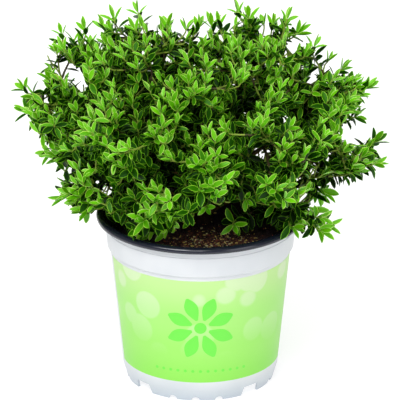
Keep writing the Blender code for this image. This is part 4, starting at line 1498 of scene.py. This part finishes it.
def strays(points):
    """True for a shoot that grows beyond the crown's edge by more than a point, or at its foot."""
    places = [picture_place(point) for point in points[2:]]
    outside = [up for right, up in places if not inside((right, up), CROWN_EDGE)]
    if len(outside) > MOST_STRAYED or any(up < LOWEST_EDGE for up in outside):
        return True
    halfway = [a.lerp(b, 0.5) for a, b in zip(points[2:], points[3:])]
    return any(in_hollow(point) for point in points[2:] + halfway)


def grow_mass(mass, tips, paths):
    """The shoots of one mass: its stem goes on from its bough, and each other springs from one."""
    limb = paths[mass.name if mass.carrier else "main_stem"][0]
    arriving = (limb[-1] - limb[-2]).normalized() if mass.carrier else UP
    carriers = []
    shoots = []
    for tip in tips:
        growing = tip.growing
        end = HEART + tip.direction * tip.reach - growing * YOUNG_PAIRS[0].length
        if carriers:
            root, along = shoot_root(carriers, end)
            leaving = (along + (end - root).normalized() * TWIG_AIM).normalized()
            points = smooth_path(root, leaving, end, growing, SHOOT_POINTS)
        else:
            straight = limb[-1] + arriving * MASS_STEM_STRAIGHT
            points = [limb[-1]] + smooth_path(straight, arriving, end, growing, SHOOT_POINTS - 1)
        if not all(clear_of_pot(point) for point in points[1:]):
            continue
        if tip.held and strays(points):
            continue
        carriers.append((points, path_directions(points)))
        shoots.append(Shoot(points, tip.age, tip.held))
    return shoots


def shoot_radius(back):
    return min(SHOOT_THICKEST, SHOOT_TIP_RADIUS + SHOOT_THICKENING * back)


def make_twigs(mass, shoots, materials):
    """The stems of one mass's shoots: green near their tips and brown behind."""
    vertices = []
    faces = []
    kinds = []
    for shoot in shoots:
        points = shoot.points
        backs = [0.0]
        for a, b in zip(points[::-1], points[-2::-1]):
            backs.append(backs[-1] + (a - b).length)
        backs = backs[::-1]
        rings = []
        for point, along, side, back in zip(points, path_directions(points), path_sides(points), backs):
            radius = shoot_radius(back)
            turns = [Quaternion(along, 2.0 * math.pi * n / SHOOT_SIDES) for n in range(SHOOT_SIDES)]
            rings.append([point + (turn @ side) * radius for turn in turns])
        append_shape(vertices, faces, *stacked_rings(rings))
        kinds += [1, 0]
        for back in backs[:-1]:
            kinds += [0 if back < GREEN_STEM_LENGTH else 1] * SHOOT_SIDES
    obj = add_object("twigs_" + mass.name, vertices, faces)
    finish_piece(obj, materials)
    obj.data.polygons.foreach_set("material_index", kinds)


# Leaves

Leaf = namedtuple("Leaf", "root along upper length width fold arch tint")
Manner = namedtuple(
    "Manner", "first_turn size broadness openness loose_tip age age_step youngest shell"
)


def leaf_template():
    """Along, across and depth values of a leaf's vertices, its faces, and which are margin."""
    along = []
    across = []
    for station, half in zip(LEAF_STATIONS, LEAF_HALF_WIDTHS):
        inner = half - LEAF_MARGIN if half > 2.0 * LEAF_MARGIN else half * 0.5
        along += [station] * 5
        across += [-half, -inner, 0.0, inner, half]
    along.append(1.0)
    across.append(0.0)
    tip = len(along) - 1
    quads = []
    margins = []
    for row in range(len(LEAF_STATIONS) - 1):
        for column in range(4):
            corner = row * 5 + column
            quads.append((corner, corner + 1, corner + 6, corner + 5))
            margins.append(column in (0, 3))
    last = tip - 5
    triangles = [(last + column, last + column + 1, tip) for column in range(4)]
    margins += [column in (0, 3) for column in range(4)]
    return np.array(along), np.array(across), np.array(quads), np.array(triangles), np.array(margins)


def pair_of(number):
    """The numbered pair of leaves, counted back from a shoot's tip."""
    if number < len(YOUNG_PAIRS):
        return YOUNG_PAIRS[number]
    back = OLD_PAIR.back + OLD_PAIR_SPACING * (number - len(YOUNG_PAIRS))
    return OLD_PAIR._replace(back=back)


def place_from_tip(points, sides, back):
    """The place, direction and side at a distance back from a path's end."""
    for k in range(len(points) - 1, 0, -1):
        step = (points[k] - points[k - 1]).length
        if back <= step:
            share = back / step
            along = (points[k] - points[k - 1]).normalized()
            return points[k].lerp(points[k - 1], share), along, sides[k].lerp(sides[k - 1], share)
        back -= step
    return None


def turned_to_light(along, upper, place, share):
    """The upper side of a leaf, twisted about its length by a share of the way to the light."""
    from_top, from_outside, from_camera = LIGHT_FROM
    light = UP * from_top + (place - HEART).normalized() * from_outside + CAMERA_BACK * from_camera
    facing = (light - along * light.dot(along)).normalized()
    return (upper * (1.0 - share) + facing * share).normalized()


def manner_of(shoot, rng):
    """What the leaves of one shoot share: low ones are larger, broader and more open."""
    first_turn = rng.uniform(0.0, math.pi / 2.0)
    outwards = (shoot.points[-1] - HEART).normalized()
    lowness = 1.0 - max(0.0, outwards.z)
    # painted light: the low-left shoots in the crown's shade may take the pale tint
    low_left = shoot.age == LOW_SHOOT_AGES_AND_LIGHT[0]
    size = rng.uniform(*LEAF_SIZES) * (1.0 + LOW_LEAF_GROWTH * lowness)
    if low_left:
        size *= LOW_LEFT_GROWTH
    elif not shoot.held and shoot.age > LOW_SHOOT_AGES_AND_LIGHT[1]:
        size *= LEADER_GROWTH
    openness = rng.uniform(*OPENNESS) + LOW_OPENNESS * lowness
    loose_tip = rng.uniform(0.0, LOOSEST_TIP) if shoot.held else rng.choice(LEADER_TIPS)
    return Manner(
        first_turn=first_turn,
        size=size,
        broadness=TOP_BROADNESS + (LOW_BROADNESS - TOP_BROADNESS) * lowness,
        openness=openness,
        loose_tip=loose_tip,
        age=rng.uniform(*SHOOT_AGES) + shoot.age,
        age_step=AGE_PER_PAIR if shoot.held else LEADER_AGE_PER_PAIR,
        youngest=0 if low_left else 1,
        shell=crown_reach(outwards),
    )


def leaf_tint(root, number, manner, rng):
    """The number of a leaf's tint: darker the older it is, with painted shade in depth and in shaded
    spots, and paler with painted light near the top and in lit spots.
    """
    right, up = picture_place(root)
    age = number * manner.age_step + manner.age + rng.uniform(-LEAF_AGE_SPREAD, LEAF_AGE_SPREAD)
    # painted light: the youngest pairs are painted paler high on the crown
    if number < LIGHT_PAIRS:
        age -= max(0.0, up - LIGHT_BOTTOM) / LIGHT_RISE
    age += tone_change((right, up))
    depth = (root - HEART).length / manner.shell
    oldest = len(TINTS) - 1 - sum(depth > paler for paler in PALER_DEPTHS)
    return max(manner.youngest, min(oldest, int(age) + 1))


def grow_leaf(shoot, manner, number, half, back, spot, rng):
    """One leaf of a shoot's numbered pair: the half turn tells which of the two."""
    pair = pair_of(number)
    place, along, side = spot
    turn = manner.first_turn + number * math.pi / 2.0 + half + rng.gauss(0.0, TURN_SWAY)
    outward = Quaternion(along, turn) @ side
    outward = (outward - along * outward.dot(along)).normalized()
    spread = pair.opening * manner.openness + (0.0 if number else manner.loose_tip)
    opening = math.radians(min(WIDEST_OPENING, spread) + rng.gauss(0.0, OPENING_SWAY))
    leaf_along = along * math.cos(opening) + outward * math.sin(opening)
    upper = along * math.sin(opening) - outward * math.cos(opening)
    share = rng.uniform(*(LIGHT_TURN if shoot.held else LEADER_LIGHT_TURN))
    share = min(1.0, share + HANGING_TURN * max(0.0, -leaf_along.z))
    upper = turned_to_light(leaf_along, upper, place, share)
    upper = Quaternion(leaf_along, rng.gauss(0.0, ROLL_SWAY)) @ upper
    length = pair.length * manner.size * rng.uniform(*LENGTH_SPREAD)
    width = pair.width * manner.size * manner.broadness * rng.uniform(*WIDTH_SPREAD)
    fold = rng.uniform(*FOLDS) if number else TIP_FOLD
    arch = rng.uniform(*ARCHES) if number else TIP_ARCH
    root = place + outward * shoot_radius(back) * ROOT_SHARE
    tint = leaf_tint(root, number, manner, rng)
    return Leaf(root, leaf_along, upper, length, width, fold, arch, tint)


def has_room(leaf, held):
    """True for a leaf clear of gaps, hollows and the pot and, if held, within the crown's edge."""
    tip = leaf.root + leaf.along * leaf.length - leaf.upper * leaf.arch * leaf.length
    middle = leaf.root.lerp(tip, 0.5)
    parts = [picture_place(leaf.root.lerp(tip, share)) for share in GAP_TESTS]
    if in_hollow(middle) or any(in_spots(part, SKY_GAPS) for part in parts):
        return False
    if held and not inside(picture_place(leaf.root.lerp(tip, HELD_SHARE)), CROWN_EDGE):
        return False
    if held and (middle - HEART).length < LEAFLESS_REACH:
        return False
    return all(clear_of_pot(point) for point in (tip, middle, leaf.root))


def shoot_leaves(shoot, rng):
    """The leaves of one shoot: crossed pairs that open, grow older and darken away from its tip."""
    leaves = []
    sides = path_sides(shoot.points)
    manner = manner_of(shoot, rng)
    for number in itertools.count():
        back = pair_of(number).back * rng.uniform(*BACK_SPREAD)
        spot = place_from_tip(shoot.points, sides, back) if back < LEAFY_LENGTH else None
        if spot is None:
            return leaves
        pair = [grow_leaf(shoot, manner, number, half, back, spot, rng) for half in (0.0, math.pi)]
        leaves += [leaf for leaf in pair if has_room(leaf, shoot.held)]


def make_leaves(mass, leaves, template, materials):
    """All the leaves of one mass as one mesh, each bent from the template."""
    along, across, quads, triangles, margins = template
    count = len(leaves)
    root = np.array([tuple(leaf.root) for leaf in leaves])[:, None, :]
    forward = np.array([tuple(leaf.along) for leaf in leaves])
    upper = np.array([tuple(leaf.upper) for leaf in leaves])
    side = np.cross(forward, upper)[:, None, :]
    forward = forward[:, None, :]
    upper = upper[:, None, :]
    length, width, fold, arch = (
        np.array([getattr(leaf, name) for leaf in leaves])[:, None]
        for name in ("length", "width", "fold", "arch")
    )
    half = width / 2.0
    depth = fold * np.abs(across) * half - arch * length * along**2
    places = (
        root
        + forward * (length * along)[:, :, None]
        + side * (half * across)[:, :, None]
        + upper * depth[:, :, None]
    )
    per_leaf = len(along)
    starts = (np.arange(count) * per_leaf)[:, None, None]
    all_quads = (quads[None] + starts).reshape(count, -1)
    all_triangles = (triangles[None] + starts).reshape(count, -1)
    corners = np.concatenate([all_quads, all_triangles], axis=1).reshape(-1)
    sizes = np.tile([4] * len(quads) + [3] * len(triangles), count)
    tints = np.array([leaf.tint for leaf in leaves])
    kinds = (tints[:, None] * 2 + margins[None]).reshape(-1)
    mesh = bpy.data.meshes.new("leaves_" + mass.name)
    mesh.vertices.add(count * per_leaf)
    mesh.vertices.foreach_set("co", places.reshape(-1).astype(np.float32))
    mesh.loops.add(len(corners))
    mesh.loops.foreach_set("vertex_index", corners.astype(np.int32))
    mesh.polygons.add(len(sizes))
    loop_starts = np.concatenate([[0], np.cumsum(sizes)[:-1]])
    mesh.polygons.foreach_set("loop_start", loop_starts.astype(np.int32))
    mesh.update(calc_edges=True)
    obj = link_object("leaves_" + mass.name, mesh)
    finish_piece(obj, materials, ["foliage_" + mass.name])
    mesh.polygons.foreach_set("material_index", kinds.astype(np.int32))


def make_crown(paths):
    twig_materials = [twig("green", (132, 156, 52)), twig("brown", (66, 58, 28))]
    leaf_colours = leaf_materials()
    template = leaf_template()
    tips = tips_by_mass()
    for mass in MASSES:
        rng = random.Random("leaves " + mass.name)
        shoots = grow_mass(mass, tips[mass.name], paths)
        leaves = [leaf for shoot in shoots for leaf in shoot_leaves(shoot, rng)]
        make_twigs(mass, shoots, twig_materials)
        make_leaves(mass, leaves, template, leaf_colours)


# Camera, floor and light

def make_camera():
    data = bpy.data.cameras.new("camera")
    data.lens = CAMERA_LENS
    data.sensor_width = SENSOR_WIDTH
    camera = link_object("camera", data)
    camera.location = CAMERA_AIM + CAMERA_BACK * CAMERA_DISTANCE
    camera.rotation_euler = (math.pi / 2.0 - CAMERA_ELEVATION, 0.0, 0.0)
    bpy.context.scene.camera = camera


def make_floor():
    """A plain pale floor that glows a little, as a lit studio sweep does."""
    size = FLOOR_HALF_SIZE
    corners = [(-size, -size, 0.0), (size, -size, 0.0), (size, size, 0.0), (-size, size, 0.0)]
    floor = add_object("floor", corners, [(0, 1, 2, 3)])
    material = new_material("floor_white", colour(168, 168, 168), 0.9, 0.1)
    shader_of(material).inputs["Emission Color"].default_value = (1.0, 1.0, 1.0, 1.0)
    shader_of(material).inputs["Emission Strength"].default_value = FLOOR_GLOW
    add_bump(material, 40.0, 0.0001, 0.2)
    floor.data.materials.append(material)


def make_world():
    world = bpy.data.worlds.new("studio")
    world.use_nodes = True
    background = world.node_tree.nodes["Background"]
    background.inputs["Color"].default_value = (1.0, 1.0, 1.0, 1.0)
    background.inputs["Strength"].default_value = SKY_STRENGTH
    bpy.context.scene.world = world
    bpy.context.scene.view_settings.view_transform = "Standard"


def make_lamp(lamp):
    """A soft rectangular light that faces its target."""
    data = bpy.data.lights.new(lamp.name, "AREA")
    data.shape = "RECTANGLE"
    data.size = lamp.width
    data.size_y = lamp.height
    data.energy = lamp.power
    light = link_object(lamp.name, data)
    light.location = lamp.place
    facing = Vector(lamp.target) - Vector(lamp.place)
    light.rotation_euler = facing.to_track_quat("-Z", "Y").to_euler()


def make_light():
    make_world()
    for lamp in LAMPS:
        make_lamp(lamp)
    sun = bpy.data.lights.new("sky_light", "SUN")
    sun.energy = SUN_STRENGTH
    sun.angle = SUN_WIDTH
    link_object("sky_light", sun).rotation_euler = SUN_TURNS


make_camera()
make_floor()
make_light()
make_shell()
make_rim()
make_label()
make_motif()
make_soil()
make_crumbs()
limb_paths = bough_paths()
make_stem()
make_boughs(limb_paths)
make_crown(limb_paths)
